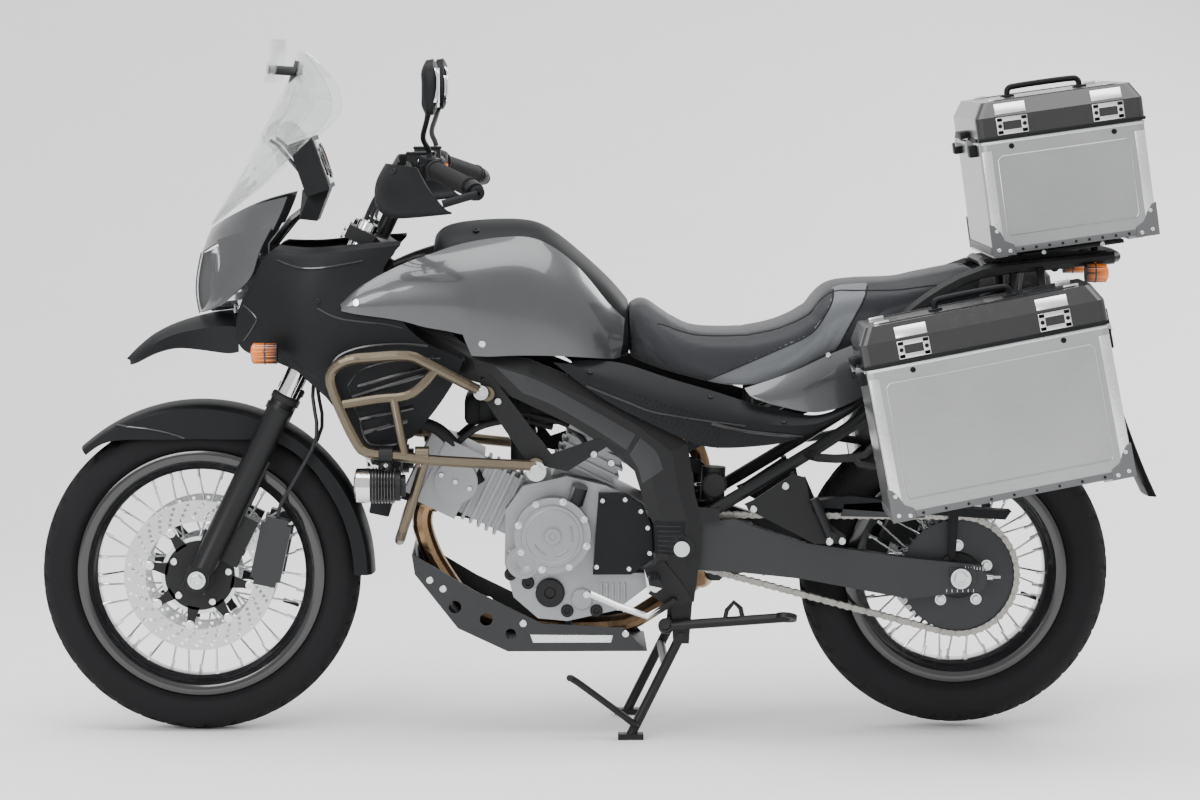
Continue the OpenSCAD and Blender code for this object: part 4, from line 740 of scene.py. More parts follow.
m.lathe(mm(-92, CHAIN_Y - 4, 420), (0, 1, 0), [(0, 0.030), (0.008, 0.030)], 30, 0)
m.lathe(mm(-92, 82.4, 420), (0, 1, 0), [(0, 0.012), (0.026, 0.012)], 20, 0)
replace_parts(m.build("roller_chain", "chassis", "steel", CHAIN, angle=30), "drive_chain")

m = Mesh()
teeth = []
for k in range(48):
    a = 2 * math.pi * k / 48
    for da, r in ((-0.028, R1 - 5.2), (-0.012, R1 + 3.6), (0.012, R1 + 3.6), (0.028, R1 - 5.2),
            (0.065, R1 - 5.6)):
        teeth.append((-744 + r * math.cos(a + da), 331 + r * math.sin(a + da)))
m.slab(teeth, 94, 100, 0.0008, 0)
for k in range(5):
    a = 2 * math.pi * k / 5 + 0.3
    m.bolt(mm(-744 + 62 * math.cos(a), 101, 331 + 62 * math.sin(a)), (0, 1, 0), 0.0085, 0.007, 1, "nut")
m.lathe(mm(RX, 101, RZ), (0, 1, 0), [(0, 0.048), (0.006, 0.046), (0.010, 0.036)], 40, 2)
m.build("sprocket_teeth", "rear_wheel", "steel", [CHARCOAL, STEEL, BLACK])

# ---------- seat ----------

SEAT_ROWS = [(-68.5, 94, 892, 780), (-100, 116, 900, 768), (-138, 140, 872, 756), (-193, 158, 842, 742),
             (-260, 164, 836, 728), (-320, 164, 840, 728), (-380, 162, 854, 744), (-430, 158, 880, 768),
             (-475, 150, 926, 790), (-530, 142, 938, 806), (-620, 134, 942, 838), (-700, 122, 958, 868),
             (-760, 108, 968, 890), (-792, 92, 960, 905)]
SECTION = [(0, 1), (0.4, 0.985), (0.75, 0.93), (0.95, 0.8), (1, 0.6), (0.97, 0.3), (0.9, 0)]


ROUND_SECTION = [(p.x, p.y) for p in spline([(a, b, 0) for a, b in SECTION[:7]], 5)]
ROUND_SECTION += [(0, 0)] + [(-a, b) for a, b in reversed(ROUND_SECTION[1:])]


def seat_shape(shrink):
    rows = spline([Vector((r[0], r[1], r[2], r[3])) for r in SEAT_ROWS], 8)
    k = len(rows)
    rings = []
    for i, r in enumerate(rows):
        x = r[0] + (shrink if r[0] < -430 else -shrink) * (1 if i in (0, k - 1) else 0)
        w, top, low = r[1] - shrink, r[2] - shrink, r[3] + 1.0
        rings.append([mm(x, q[0] * w, low + (top - low) * q[1]) for q in ROUND_SECTION])
    m = Mesh()
    n = len(ROUND_SECTION)
    m.add([p for r in rings for p in r],
          [(i * n + j, i * n + (j + 1) % n, (i + 1) * n + (j + 1) % n, (i + 1) * n + j)
           for i in range(k - 1) for j in range(n)] +
          [tuple(reversed(range(n))), tuple((k - 1) * n + j for j in range(n))])
    return m


def between(line, z):
    """X of a line of (x, z) points at height z, clamped to its ends."""
    pts = sorted(line, key=lambda p: p[1])
    if z <= pts[0][1]:
        return pts[0][0]
    for a, b in zip(pts, pts[1:]):
        if z <= b[1]:
            return a[0] + (b[0] - a[0]) * (z - a[1]) / (b[1] - a[1])
    return pts[-1][0]


STRIP_IN = [(-482, 955), (-482, 908), (-464, 870), (-432, 831), (-355, 795), (-211, 732)]
STRIP_OUT = [(-557, 960), (-549, 912), (-511, 841), (-491, 803), (-470, 780)]

SEAT_INSET = 5.0
SEAT_VOXEL = 0.0055
PUFF_CAP = 0.0045
PUFF_FRAMES = 20

seat = seat_shape(SEAT_INSET).build("seat_cushion", "chassis", "seat_cover", [VINYL, VINYL2], angle=180)
remesh = seat.modifiers.new("remesh", "REMESH")
remesh.mode = "VOXEL"
remesh.voxel_size = SEAT_VOXEL
dg = bpy.context.evaluated_depsgraph_get()
me = bpy.data.meshes.new_from_object(seat.evaluated_get(dg))
seat.modifiers.clear()
seat.data = me
rest_co = [v.co.copy() for v in me.vertices]
pin = seat.vertex_groups.new(name="base")
pin.add([v.index for v in me.vertices if v.normal.z < -0.7], 1.0, "REPLACE")
cloth = seat.modifiers.new("puff", "CLOTH")
cs = cloth.settings
cs.quality = 5
cs.use_pressure = True
cs.uniform_pressure_force = 4
cs.effector_weights.gravity = 0
cs.vertex_group_mass = "base"
cs.tension_stiffness = cs.compression_stiffness = 20
cloth.collision_settings.use_collision = False
scene.frame_start, scene.frame_end = 1, PUFF_FRAMES
for fr in range(1, PUFF_FRAMES + 1):
    scene.frame_set(fr)
dg = bpy.context.evaluated_depsgraph_get()
puffed = seat.evaluated_get(dg).to_mesh()
moved = [v.co.copy() for v in puffed.vertices]
seat.modifiers.clear()
scene.frame_set(1)
for v, a, b in zip(me.vertices, rest_co, moved):
    d = b - a
    if d.length > PUFF_CAP:
        d *= PUFF_CAP / d.length
    v.co = a + d
# sewn hollows: one across between rider and passenger, one round each crown
for v in me.vertices:
    x, y, z = v.co / MM
    if v.normal.z > 0.15:
        for line_x, deep in ((-432, 3.0), (-300, 1.2), (-150, 1.0)):
            v.co.z -= MM * deep * math.exp(-((x - line_x + 0.0006 * y * y) / 7) ** 2)
    edge = abs(abs(y) - (0.78 if x > -440 else 0.74) * 150)
    if v.normal.z > 0.2 and -760 < x < -110:
        v.co.z -= MM * 1.6 * math.exp(-(edge / 6) ** 2)
me.materials.clear()
for mt in (VINYL, VINYL2):
    me.materials.append(mt)
for p in me.polygons:
    x, y, z = p.center / MM
    inside = between(STRIP_OUT, z) < x < between(STRIP_IN, z) if z > 780 else (
        x < between(STRIP_IN, z) and x > -470)
    p.material_index = 1 if (inside and abs(y) > 88) else 0
me.polygons.foreach_set("use_smooth", [True] * len(me.polygons))
sm = seat.modifiers.new("smooth", "SUBSURF")
sm.levels = sm.render_levels = 1
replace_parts(seat, "seat")

seat_tree = BVHTree.FromPolygons([v.co for v in me.vertices], [tuple(p.vertices) for p in me.polygons])
m = Mesh()
for s in (1, -1):
    for line in (STRIP_IN, STRIP_OUT):
        pts = []
        for p in spline([(a, 0, b) for a, b in line], 8):
            hit = seat_tree.ray_cast(mm(p.x, s * 260, p.z), Vector((0, -s, 0)))
            if hit[0] is not None and abs(hit[0].y) > 0.085:
                pts.append(hit[0] + Vector((0, s * 0.0004, 0)))
        if len(pts) > 3:
            m.tube(pts, 0.0017, 8)
    pts = []
    for i in range(60):
        x = -90 - i * 11.4
        hit = seat_tree.ray_cast(mm(x, s * (117 if x > -440 else 111), 1100), Vector((0, 0, -1)))
        if hit[0] is not None and x < -120:
            pts.append(hit[0] + Vector((0, 0, 0.0003)))
    m.tube(pts, 0.0015, 8)
m.build("seat_piping", "chassis", "seat_cover", THREAD)

# ---------- cases ----------


def dress_case(name, place, l, w, h, outer, handle_z):
    """Fittings of one case, in its own frame; outer faces are the sides in Y that show."""
    body, top = Mesh(), Mesh()

    def put(mesh, fn, *a, **k):
        tmp = Mesh()
        getattr(tmp, fn)(*a, **k)
        mesh.add([place(Vector(p)) for p in tmp.v], tmp.f, 0)
        mesh.m[-len(tmp.f):] = tmp.m
    L, W = l / 2, w / 2
    for s in outer:
        for e in (1, -1):
            put(body, "box", mm(e * (L - 13), s * (W + 0.9), h / 2 + 3), (0.020, 0.0022, (h - 44) * MM),
                    None, 0.0008, 1)
            guard = [(e * (L - 46), -7), (e * (L + 1.5), -7), (e * (L + 1.5), 60), (e * (L - 8), 56),
                     (e * (L - 20), 40), (e * (L - 26), 24), (e * (L - 44), 14)]
            put(body, "slab", guard, s * (W + 0.5), s * (W + 4.5), 0.0012, 2)
            for bx, bz in ((12, 44), (12, 6), (34, 2)):
                put(body, "bolt", mm(e * (L - bx), s * (W + 4.4), bz), (0, s, 0), 0.004, 0.0015, 1)
            for k in range(5):
                put(body, "lathe", mm(e * (L - 13), s * (W + 2), h * (0.26 + 0.15 * k)), (0, s, 0),
                    [(0, 0.0028), (0.001, 0.0024), (0.0014, 0)], 12, 1)
            put(body, "bolt", mm(e * L * 0.62, s * (W + 0.2), h - 14), (0, s, 0), 0.0055, 0.0028, 3)
        put(body, "box", mm(0, s * (W + 1.2), 3), ((l - 80) * MM, 0.0026, 0.013), None, 0.001, 2)
        put(body, "box", mm(0, s * (W + 0.8), h - 3.5), ((l - 8) * MM, 0.002, 0.005), None, 0.0006, 1)
        for k in range(9):
            put(body, "lathe", mm((k - 4) * (l - 120) / 8, s * (W + 2.4), 3), (0, s, 0),
                [(0, 0.0030), (0.0006, 0.0030), (0.0006, 0.0015), (0, 0)], 12, 3)
        # pressed swage line
        sw = [(-L + 40, 34), (L - 40, 34), (L - 34, 42), (L - 34, h - 40), (L - 42, h - 32),
                (-L + 42, h - 32),
              (-L + 34, h - 40), (-L + 34, 42)]
        pts = [mm(a, s * (W + 0.3), b) for a, b in sw + sw[:1]]
        put(body, "tube", pts, 0.0016, 6, 0)
        for e in (1, -1):
            cx = e * l * 0.29
            for dx, dz, sx, sz in ((-25, 0, 13, 34), (25, 0, 13, 34), (0, 13, 62, 9), (0, -13, 62, 9)):
                put(top, "box", mm(cx + dx, s * (W + 4.2), h + 28 + dz), (sx * MM, 0.0026, sz * MM),
                        None, 0.0008, 1)
            for k in (-25, 25):
                put(top, "bolt", mm(cx + k, s * (W + 5.4), h + 28), (0, s, 0), 0.0042, 0.002, 3)
            put(top, "box", mm(cx, s * (W - 6), h + 62), (0.062, 0.024, 0.0026),
                Matrix.Rotation(math.radians(-s * 61), 3, "X"), 0.0008, 1)
        put(top, "box", mm(0, s * (W + 3.2), h + 5), ((l + 2) * MM, 0.004, 0.006), None, 0.001, 3)
    for e in (1, -1):
        put(body, "box", mm(e * (L + 0.8), 0, h - 3.5), (0.002, (w - 30) * MM, 0.005), None, 0.0006, 1)
        put(body, "box", mm(e * (L + 1.0), 0, 4), (0.0024, (w - 30) * MM, 0.016), None, 0.001, 2)
        put(top, "box", mm(e * (L + 3.2), 0, h + 5), (0.004, (w - 26) * MM, 0.006), None, 0.001, 3)
    # hinge cover in front, latches behind
    put(body, "box", mm(L + 8, w * 0.34, h - 17), (0.018, 0.034, 0.024), None, 0.003, 3)
    put(body, "box", mm(L + 8, -w * 0.34, h - 17), (0.018, 0.034, 0.024), None, 0.003, 3)
    put(top, "box", mm(L + 9, 0, h + 14), (0.020, w * 0.24 * MM, 0.014), None, 0.003, 3)
    for e in (1, -1):
        put(body, "box", mm(-L - 4, e * w * 0.25, h - 32), (0.008, 0.040, 0.038), None, 0.002, 3)
        put(top, "box", mm(-L - 5.5, e * w * 0.25, h + 12), (0.006, 0.034, 0.030), None, 0.002, 3)
        put(top, "tube", spline([mm(-L - 7, e * w * 0.25 - 13, h + 2),
                mm(-L - 10, e * w * 0.25 - 13, h - 16),
                                 mm(-L - 10, e * w * 0.25 + 13, h - 16),
                                 mm(-L - 7, e * w * 0.25 + 13, h + 2)], 4), 0.0022, 8, 1)
    put(body, "lathe", mm(-L - 8, w * 0.25, h - 36), (-1, 0, 0),
            [(0, 0.008), (0.002, 0.008), (0.0026, 0.006),
                                                                 (0.0026, 0.002), (0.001, 0)], 20, 1)
    grip = [mm(-75, 0, handle_z), mm(-72, 0, handle_z + 16), mm(-50, 0, handle_z + 20),
            mm(50, 0, handle_z + 20),
            mm(72, 0, handle_z + 16), mm(75, 0, handle_z)]
    put(top, "tube", spline(grip, 5), 0.0062, 10, 3)
    for e in (1, -1):
        put(top, "box", mm(e * 75, 0, handle_z + 1), (0.026, 0.030, 0.006), None, 0.002, 3)
        put(top, "box", mm(0, e * (W - 42), handle_z - 0.5), ((l - 90) * MM, 0.010, 0.0035), None,
                0.0012, 3)
        for k in (-1, 1):
            put(top, "box", mm(k * (L - 52), e * (W - 52), handle_z + 1), (0.030, 0.010, 0.007), None,
                    0.002, 1)
    mats = [SHEET, BRIGHT, GREYPL, PLASTIC]
    body.build(name + "_fittings", "chassis", "case_alloy", mats)
    top.build(name + "_lid_fittings", name + "_lid", "black_plastic", [SMOOTH, BRIGHT, GREYPL, PLASTIC])


def framed(x, y, z, tilt, side=1):
    r = turned(tilt)
    return lambda v: r @ Vector((v.x, v.y * side, v.z)) + mm(x, y, z)


def dress(name, g, y, side, outer):
    dress_case(name, framed(g["x"], y, g["z"], g["tilt"], side), g["l"], g["w"], g["h"], outer,
               g["h"] + g["lid"] + LID_GAP)


pannier_mid = PANNIER_IN + PANNIER["w"] / 2
dress("left_pannier", PANNIER, pannier_mid, 1, (1,))
dress("right_pannier", PANNIER, -pannier_mid, -1, (1,))
dress("top_box", TOP_BOX, 0, 1, (1, -1))

m = Mesh()
plate = framed(TOP_BOX["x"], 0, TOP_BOX["z"], TOP_BOX["tilt"])
for s in (1, -1):
    m.box(plate(mm(0, s * 120, -14)), (0.21, 0.05, 0.008), turned(8), 0.002, 0)
    for e in (1, -1):
        m.lathe(plate(mm(e * 80, s * 120, -18)), (0, 0, 1),
                [(0, 0.012), (0.012, 0.012), (0.014, 0.009)], 20, 0)
        m.bolt(plate(mm(e * 60, s * 146, -14)), (0, s, 0), 0.005, 0.003, 1)
m.box(plate(mm(0, 0, -15)), (0.12, 0.24, 0.006), turned(8), 0.002, 0)
m.build("top_box_adapter", "chassis", "black_metal", [BLACK, STEEL])

# ---------- smooth panels ----------

for node, body, slot_name, angle, sub in (
        ("tank_cowls", "chassis", "grey_paint", 42, 2),
        ("fuel_tank", "chassis", "black_plastic", 50, 2),
        ("nose_cowl", "chassis", "grey_paint", 42, 2), ("tail_cowls", "chassis", "grey_paint", 42, 2),
        ("side_fairings", "chassis", "black_plastic", 36, 2),
        ("side_covers", "chassis", "black_plastic", 42, 2),
        ("beak", "chassis", "black_plastic", 42, 2),
        ("front_fender", "steering", "black_plastic", 42, 2),
        ("handguards", "steering", "black_plastic", 40, 1),
        ("rear_fender", "chassis", "black_plastic", 40, 1),
        ("mirrors", "steering", "black_plastic", 46, 1)):
    smoothed(node, body, angle, True, sub)
for node in ("main_frame", "swingarm", "engine_covers", "crankcase", "crash_bars", "silencer",
        "exhaust",
             "fork_sliders", "fork_yokes", "handlebar", "case_racks", "rear_carrier", "subframe",
             "instrument_panel", "windscreen", "headlamp", "front_rim", "rear_rim", "centre_stand",
             "side_stand"):
    md = NODES[node].modifiers.new("rounding", "BEVEL")
    md.width = 0.0012 if node not in ("windscreen", "front_rim", "rear_rim") else 0.0005
    md.segments = 2
    md.limit_method = "ANGLE"
    md.angle_limit = math.radians(40)
    md.harden_normals = False

# ---------- chassis trim ----------


def coated(mat, amount):
    """Lower the mirror part of a dark finish."""
    mat.node_tree.nodes["Principled BSDF"].inputs["Specular IOR Level"].default_value = amount


for mat, amount in ((TYRE, 0.12), (RUBBER, 0.2), (BLACK, 0.24), (PLASTIC, 0.16), (VINYL, 0.2),
        (VINYL2, 0.25),
                    (THREAD, 0.1), (GREYPL, 0.3), (BRAID, 0.25), (CHARCOAL, 0.35)):
    coated(mat, amount)

repaint("indicators", BLACK,
        lambda c: (c.x > 0 and c.x < 0.668) or (c.x < 0 and c.x > -1.010 and abs(c.y) > 0.075)
        or (c.x > 0 and abs(c.y) < 0.2))
repaint("indicators", RED, lambda c: c.x < 0 and abs(c.y) < 0.072 and 0.86 < c.z < 0.915)
repaint("headlamp", LENS, lambda c: c.x > 0.7078)
repaint("windscreen", BLACK,
        lambda c: 0.598 < c.x < 0.668 and 1.345 < c.z < 1.378 and 0.045 < abs(c.y) < 0.070)
repaint("engine_covers", PLASTIC, lambda c: c.x < 0.009 and c.z > 0.345 and c.y > 0.119 and c.x > -0.12
        and c.z < 0.507 and not (c.x > -0.02 and c.z < 0.46))
repaint("engine_covers", BLACK,
        lambda c: (c.x - 0.034) ** 2 + (c.z - 0.50) ** 2 < 0.018 ** 2 and c.y > 0.12)
repaint("instrument_panel", SMOOTH, lambda c: c.x > 0.596)

m = Mesh()
for s in (1, -1):
    for x, z in ((482, 903), (231, 819)):
        stud(m, "tank_cowls", x, z, s, 0.0075, 0.0035, 0)
    stud(m, "fuel_tank", 245, 1040, s, 0.0065, 0.003, 1)
    for x, z in ((133, 791), (-230, 709), (-378, 658), (14, 760)):
        stud(m, "side_covers", x, z, s, 0.0055, 0.003, 1)
    stud(m, "nose_cowl", 687, 962, s, 0.0065, 0.003, 0)
    for x, z in ((560, 905), (420, 655), (330, 790)):
        stud(m, "side_fairings", x, z, s, 0.0055, 0.003, 1)
    for x, z in ((-384, 523), (-319, 476), (-472, 413), (-500, 410)):
        stud(m, "footrests", x, z, s, 0.008, 0.006, 0)
    stud(m, "tail_cowls", -470, 790, s, 0.0055, 0.003, 0)
m.build("panel_screws", "chassis", "steel", [STEEL, BLACK])

m = Mesh()
for s in (1, -1):
    seam(m, "side_fairings", [(561, 892), (512, 870), (408, 855), (310, 821)], s, 0.0022)
    seam(m, "side_fairings", [(540, 764), (518, 795), (469, 813), (395, 819), (321, 813)], s, 0.0030)
    seam(m, "side_fairings", [(502, 734), (475, 765), (407, 784), (315, 789)], s, 0.0022)
    seam(m, "side_fairings", [(502, 734), (480, 670), (457, 616), (383, 616)], s, 0.0022)
    for a, b in (((481, 733), (346, 772)), ((493, 712), (335, 760)), ((478, 666), (371, 690)),
            ((470, 640), (383, 662))):
        seam(m, "side_fairings", [a, ((a[0] + b[0]) / 2, (a[1] + b[1]) / 2), b], s, 0.0048, 1)
    seam(m, "side_fairings", [(642, 985), (600, 972), (550, 972), (470, 985)], s, 0.0026)
    seam(m, "side_fairings", [(738, 911), (690, 872), (694, 850), (715, 820)], s, 0.0020)
    seam(m, "side_covers", [(125, 782), (60, 748), (-60, 700), (-130, 676), (-300, 650)], s, 0.0022)
    seam(m, "side_covers", [(-231, 657), (-300, 640), (-417, 626)], s, 0.0040, 1)
    seam(m, "front_fender", [(1080, 640), (1000, 640), (900, 630), (800, 600)], s, 0.0026)
m.build("panel_lines", "chassis", "black_plastic", [SMOOTH, GLOSS])

# pads with a stippled grain on the side covers
m = Mesh()
for s in (1, -1):
    for i in range(38):
        for j in range(7):
            x = 92 - 10.5 * i - 3 * (j % 2)
            z = 768 - 0.32 * (92 - x) - 9 * j
            if x < -250:
                continue
            hit, nrm = touch("side_covers", mm(x, s * 400, z), (0, -s, 0))
            if hit is not None and abs(nrm.y) > 0.35:
                if nrm.y * s < 0:
                    nrm = -nrm
                m.lathe(hit - nrm * 0.0003, nrm, [(0, 0.0022), (0.0007, 0.0018), (0.001, 0)], 8)
m.build("side_pad_grain", "chassis", "black_plastic", PLASTIC)

# Y brackets, crash-bar clamps, frame bolts
m = Mesh()
for s in (1, -1):
    for x, z, r in ((234, 720, 11), (200, 699, 8), (123, 559, 15), (6, 591, 8), (-29, 573, 8)):
        hit = None
        for node in ("crash_bars", "main_frame"):
            got = touch(node, mm(x, s * 500, z), (0, -s, 0))[0]
            if got is not None and (hit is None or abs(got.y) > abs(hit.y)):
                hit = got
        y = abs(hit.y) if hit is not None else 0.18
        m.bolt((x * MM, s * (y - 0.0006), z * MM), (0, s, 0), r * MM, 0.007, 0,
                "nut" if r > 10 else "hex")
    for x, z in ((424, 598), (352, 598)):
        hit, nrm = touch("crash_bars", mm(x, s * 500, z), (0, -s, 0))
        y = (abs(hit.y) if hit is not None else 0.268) - 0.0135
        m.lathe((x * MM - 0.014, s * y, z * MM), (1, 0, 0),
                [(0, 0.0155), (0.001, 0.0168), (0.027, 0.0168), (0.028, 0.0155)],
                24, 1 if x > 400 else 2)
        m.box((x * MM, s * y, z * MM - 0.020), (0.022, 0.012, 0.012), None, 0.002, 1 if x > 400 else 2)
        m.bolt((x * MM, s * (y + 0.006), z * MM - 0.020), (0, s, 0), 0.0045, 0.003, 0)
m.build("crash_bar_fixings", "chassis", "steel", [STEEL, BLACK, BRONZE])

# lamps: fog lamps, indicators, tail lamp ribs
m = Mesh()
for s in (1, -1):
    c = mm(482, s * 252, 536)
    m.lathe(c, (-1, 0, 0),
            [(-0.0005, 0.0300), (-0.003, 0.0325), (-0.001, 0.0350), (0.024, 0.0352), (0.026, 0.0342)],
            40, 0)
    m.lathe(c, (1, 0, 0), [(0.0003, 0.0302), (0.004, 0.026), (0.0065, 0.016), (0.0075, 0)], 40, 1)
    for k in range(8):
        m.lathe(mm(452 - 6 * k, s * 252, 536), (-1, 0, 0),
                [(0, 0.0338), (0.001, 0.0358), (0.003, 0.0358), (0.004, 0.0338)],
                40, 2)
m.build("fog_lamp_fronts", "chassis", "lamp_glass", [CHROME, LENS, SMOOTH])
m = Mesh()
for s in (1, -1):
    m.lathe(mm(689, s * 224, 800), (1, 0, 0),
            [(0, 0.0205), (0.003, 0.0185), (0.006, 0.012), (0.007, 0)], 32, 0)
    for k in range(5):
        m.lathe(mm(668 + 4 * k, s * 224, 800), (1, 0, 0),
                [(0, 0.0205), (0.001, 0.0214), (0.002, 0.0205)], 32, 0)
    m.lathe(mm(664, s * 224, 800), (1, 0, 0),
            [(0, 0.0205), (0.001, 0.0222), (0.003, 0.0222), (0.004, 0.0205)], 32, 1)
    m.lathe(mm(-1031, s * 160, 956), (-1, 0, 0),
            [(0, 0.0185), (0.003, 0.0165), (0.006, 0.010), (0.007, 0)], 32, 0)
    m.lathe(mm(-1008, s * 160, 956), (-1, 0, 0),
            [(0, 0.0185), (0.001, 0.0202), (0.003, 0.0202), (0.004, 0.0185)], 32, 1)
m.build("indicator_lenses", "chassis", "orange_lens", [ORANGE, SMOOTH])
m = Mesh()
for k in range(9):
    m.box(mm(-1008.6, -64 + 16 * k, 887), (0.003, 0.0025, 0.044), None, 0.001, 0)
m.box(mm(-1008.5, 0, 909), (0.004, 0.142, 0.004), None, 0.001, 1)
m.box(mm(-1008.5, 0, 865), (0.004, 0.142, 0.004), None, 0.001, 1)
m.build("tail_lamp_ribs", "chassis", "lamp_glass", [RED, SMOOTH])

# shock absorber
m = Mesh()
top, low = mm(-222, 20, 512), mm(-237, 20, 372)
ax = (low - top).normalized()
u = ax.orthogonal().normalized()
w = ax.cross(u)
coil = [top + (low - top) * t / 168 + (u * math.cos(t * math.pi / 12) + w * math.sin(t * math.pi / 12)) * 0.0305
        for t in range(169)]
m.tube(coil, 0.0052, 8, 0)
m.lathe(top, -ax, [(0, 0.0365), (0.001, 0.0375), (0.007, 0.0375), (0.008, 0.0365)], 32, 1)
m.lathe(low, ax, [(0, 0.0365), (0.001, 0.0375), (0.006, 0.0375), (0.007, 0.0365)], 32, 1)
for k in range(18):
    a = 2 * math.pi * k / 18
    m.box(mm(-241, 116, 520) + Vector((math.cos(a) * 0.024, 0, math.sin(a) * 0.024)),
            (0.005, 0.022, 0.005),
          turned(-math.degrees(a)), 0.0015, 2)
m.lathe(mm(-241, 105, 520), (0, 1, 0),
        [(0, 0.020), (0.001, 0.0245), (0.021, 0.0245), (0.023, 0.022), (0.023, 0)], 32, 2)
m.build("shock_spring_and_knob", "chassis", "black_metal", [SPRING, STEEL, RUBBER])

# rear axle, adjusters, chain-guard plate
m = Mesh()
for s in (1, -1):
    hit, nrm = touch("rear_axle", mm(-744, s * 400, 343), (0, -s, 0))
    y = abs(hit.y) if hit is not None else 0.158
    m.lathe((-0.744, s * (y - 0.010), 0.331), (0, s, 0),
            [(0, 0.0178), (0.009, 0.0178), (0.0115, 0.0155), (0.0115, 0.0085)], 6, 0)
    m.lathe((-0.744, s * (y - 0.013), 0.331), (0, s, 0), [(0, 0.021), (0.0025, 0.021), (0.003, 0.018)],
            32, 0)
    for k in range(7):
        m.box((-0.79 + 0.006 * k, s * 0.1465, 0.351), (0.0012, 0.001, 0.006 if k % 3 else 0.010), None,
                0.0002, 0)
    m.lathe((-0.806, s * 0.130, 0.331), (-1, 0, 0),
            [(0, 0.0065), (0.006, 0.0065), (0.006, 0.0035), (0.022, 0.0035)], 6, 0)
    if s > 0:
        m.slab([(-500, 456), (-506, 482), (-640, 488), (-676, 470), (-672, 452)], 120.5, 124, 0.001, 1)
    for x, z in ((-480, 414), (-610, 386)):
        stud(m, "swingarm", x, z, s, 0.007, 0.004, 0)
m.build("rear_axle_hardware", "chassis", "steel", [STEEL, CHARCOAL])

# ---------- engine ----------

m = Mesh()
gc = mm(GX, 0, GZ)
for k in range(8):
    a = 2 * math.pi * k / 8 + 0.3
    m.lathe(gc + Vector((math.cos(a) * 0.0725, 0.1635, math.sin(a) * 0.0725)), (0, 1, 0),
            [(0, 0.0075), (0.0016, 0.0075), (0.0016, 0.0055), (0.0062, 0.0052), (0.0068, 0.0042),
            (0.0068, 0.0028),
             (0.004, 0.0024), (0.004, 0)], 6 if k % 2 else 16, 0)
m.lathe(gc + Vector((0, 0.1748, 0)), (0, 1, 0),
        [(0, 0.0170), (0.0008, 0.0176), (0.003, 0.0168), (0.003, 0.0075),
                                               (0.0012, 0.0068), (0.0012, 0)], 40, 1)
m.lathe(gc + Vector((0, 0.1715, 0)), (0, 1, 0),
        [(0, 0.0560), (0.0012, 0.0560), (0.0018, 0.0545), (0.0008, 0.0530)], 64, 1)
for x, z in ((-12, 492), (-58, 494), (-90, 470), (-104, 436), (-108, 384), (-66, 352), (0, 356)):
    side_bolt(m, "engine_covers", x, z, 1, 0.0055, 0.0045)
for x, z in ((140, 338), (170, 352), (176, 384), (196, 400), (20, 300), (70, 300), (120, 306)):
    side_bolt(m, "crankcase", x, z, 1, 0.0065, 0.0055)
cc = mm(70, 0, 412)
for k in range(9):
    a = 2 * math.pi * k / 9
    hit, nrm = touch("engine_covers", cc + Vector((math.cos(a) * 0.084, -0.4, math.sin(a) * 0.084)),
            (0, 1, 0))
    if hit is not None:
        m.bolt(hit + Vector((0, 0.0004, 0)), (0, -1, 0), 0.0062, 0.0052, 0)
m.lathe(mm(70, -177.6, 412), (0, -1, 0), [(0, 0.058), (0.001, 0.059), (0.0018, 0.057), (0.0008, 0.055)],
        64, 1)
m.lathe(mm(150, 149.6, 366), (0, 1, 0),
        [(0, 0.026), (0.001, 0.027), (0.0022, 0.025), (0.0010, 0.012), (0, 0.010)], 40, 1)
for tilt in (26, 116):
    r = turned(-tilt)
    for s in (1, -1):
        for dx in (-32, 32, 0):
            c = mm(80, 0, 425) + r @ mm(232 + dx, 0, 0)
            hit, nrm = touch("cylinders", Vector((c.x, s * 0.4, c.z)), (0, -s, 0))
            if hit is not None:
                m.bolt(hit - Vector((0, s * 0.0004, 0)), (0, s, 0), 0.0060, 0.005, 0)
m.build("engine_bolts", "chassis", "engine_alloy", [STEEL, CAST])

# hoses, plug leads and throttle bodies between the cylinders and the tank
m = Mesh()
m.tube(spline([mm(408, 96, 645), mm(372, 92, 648), mm(318, 84, 628), mm(262, 74, 560),
        mm(240, 70, 520)], 8), 0.013, 16, 0)
m.tube(spline([mm(404, -96, 480), mm(340, -96, 460), mm(270, -92, 440), mm(190, -110, 430)], 8), 0.013,
        16, 0)
for s in (1, -1):
    m.tube(spline([mm(300, s * 70, 590), mm(240, s * 84, 636), mm(160, s * 78, 650),
            mm(90, s * 60, 634)], 8), 0.0065, 12, 0)
    m.tube(spline([mm(20, s * 74, 600), mm(60, s * 84, 640), mm(150, s * 72, 664),
            mm(250, s * 64, 676)], 8), 0.005, 10, 0)
    m.rod(mm(150, s * 22, 560), mm(150, s * 66, 640), 0.026, 28, 1)
    m.lathe(mm(150, s * 50, 612), (0, s * 0.48, 0.87),
            [(0, 0.0275), (0.001, 0.0290), (0.008, 0.0290), (0.009, 0.0275)], 28, 2)
m.box(mm(150, 0, 670), (0.240, 0.150, 0.060), None, 0.012, 1)
for k in range(8):
    m.box(mm(60 + 26 * k, 0, 668), (0.005, 0.158, 0.050), None, 0.002, 1)
m.build("intake_and_hoses", "chassis", "black_plastic", [RUBBER, PLASTIC, STEEL])

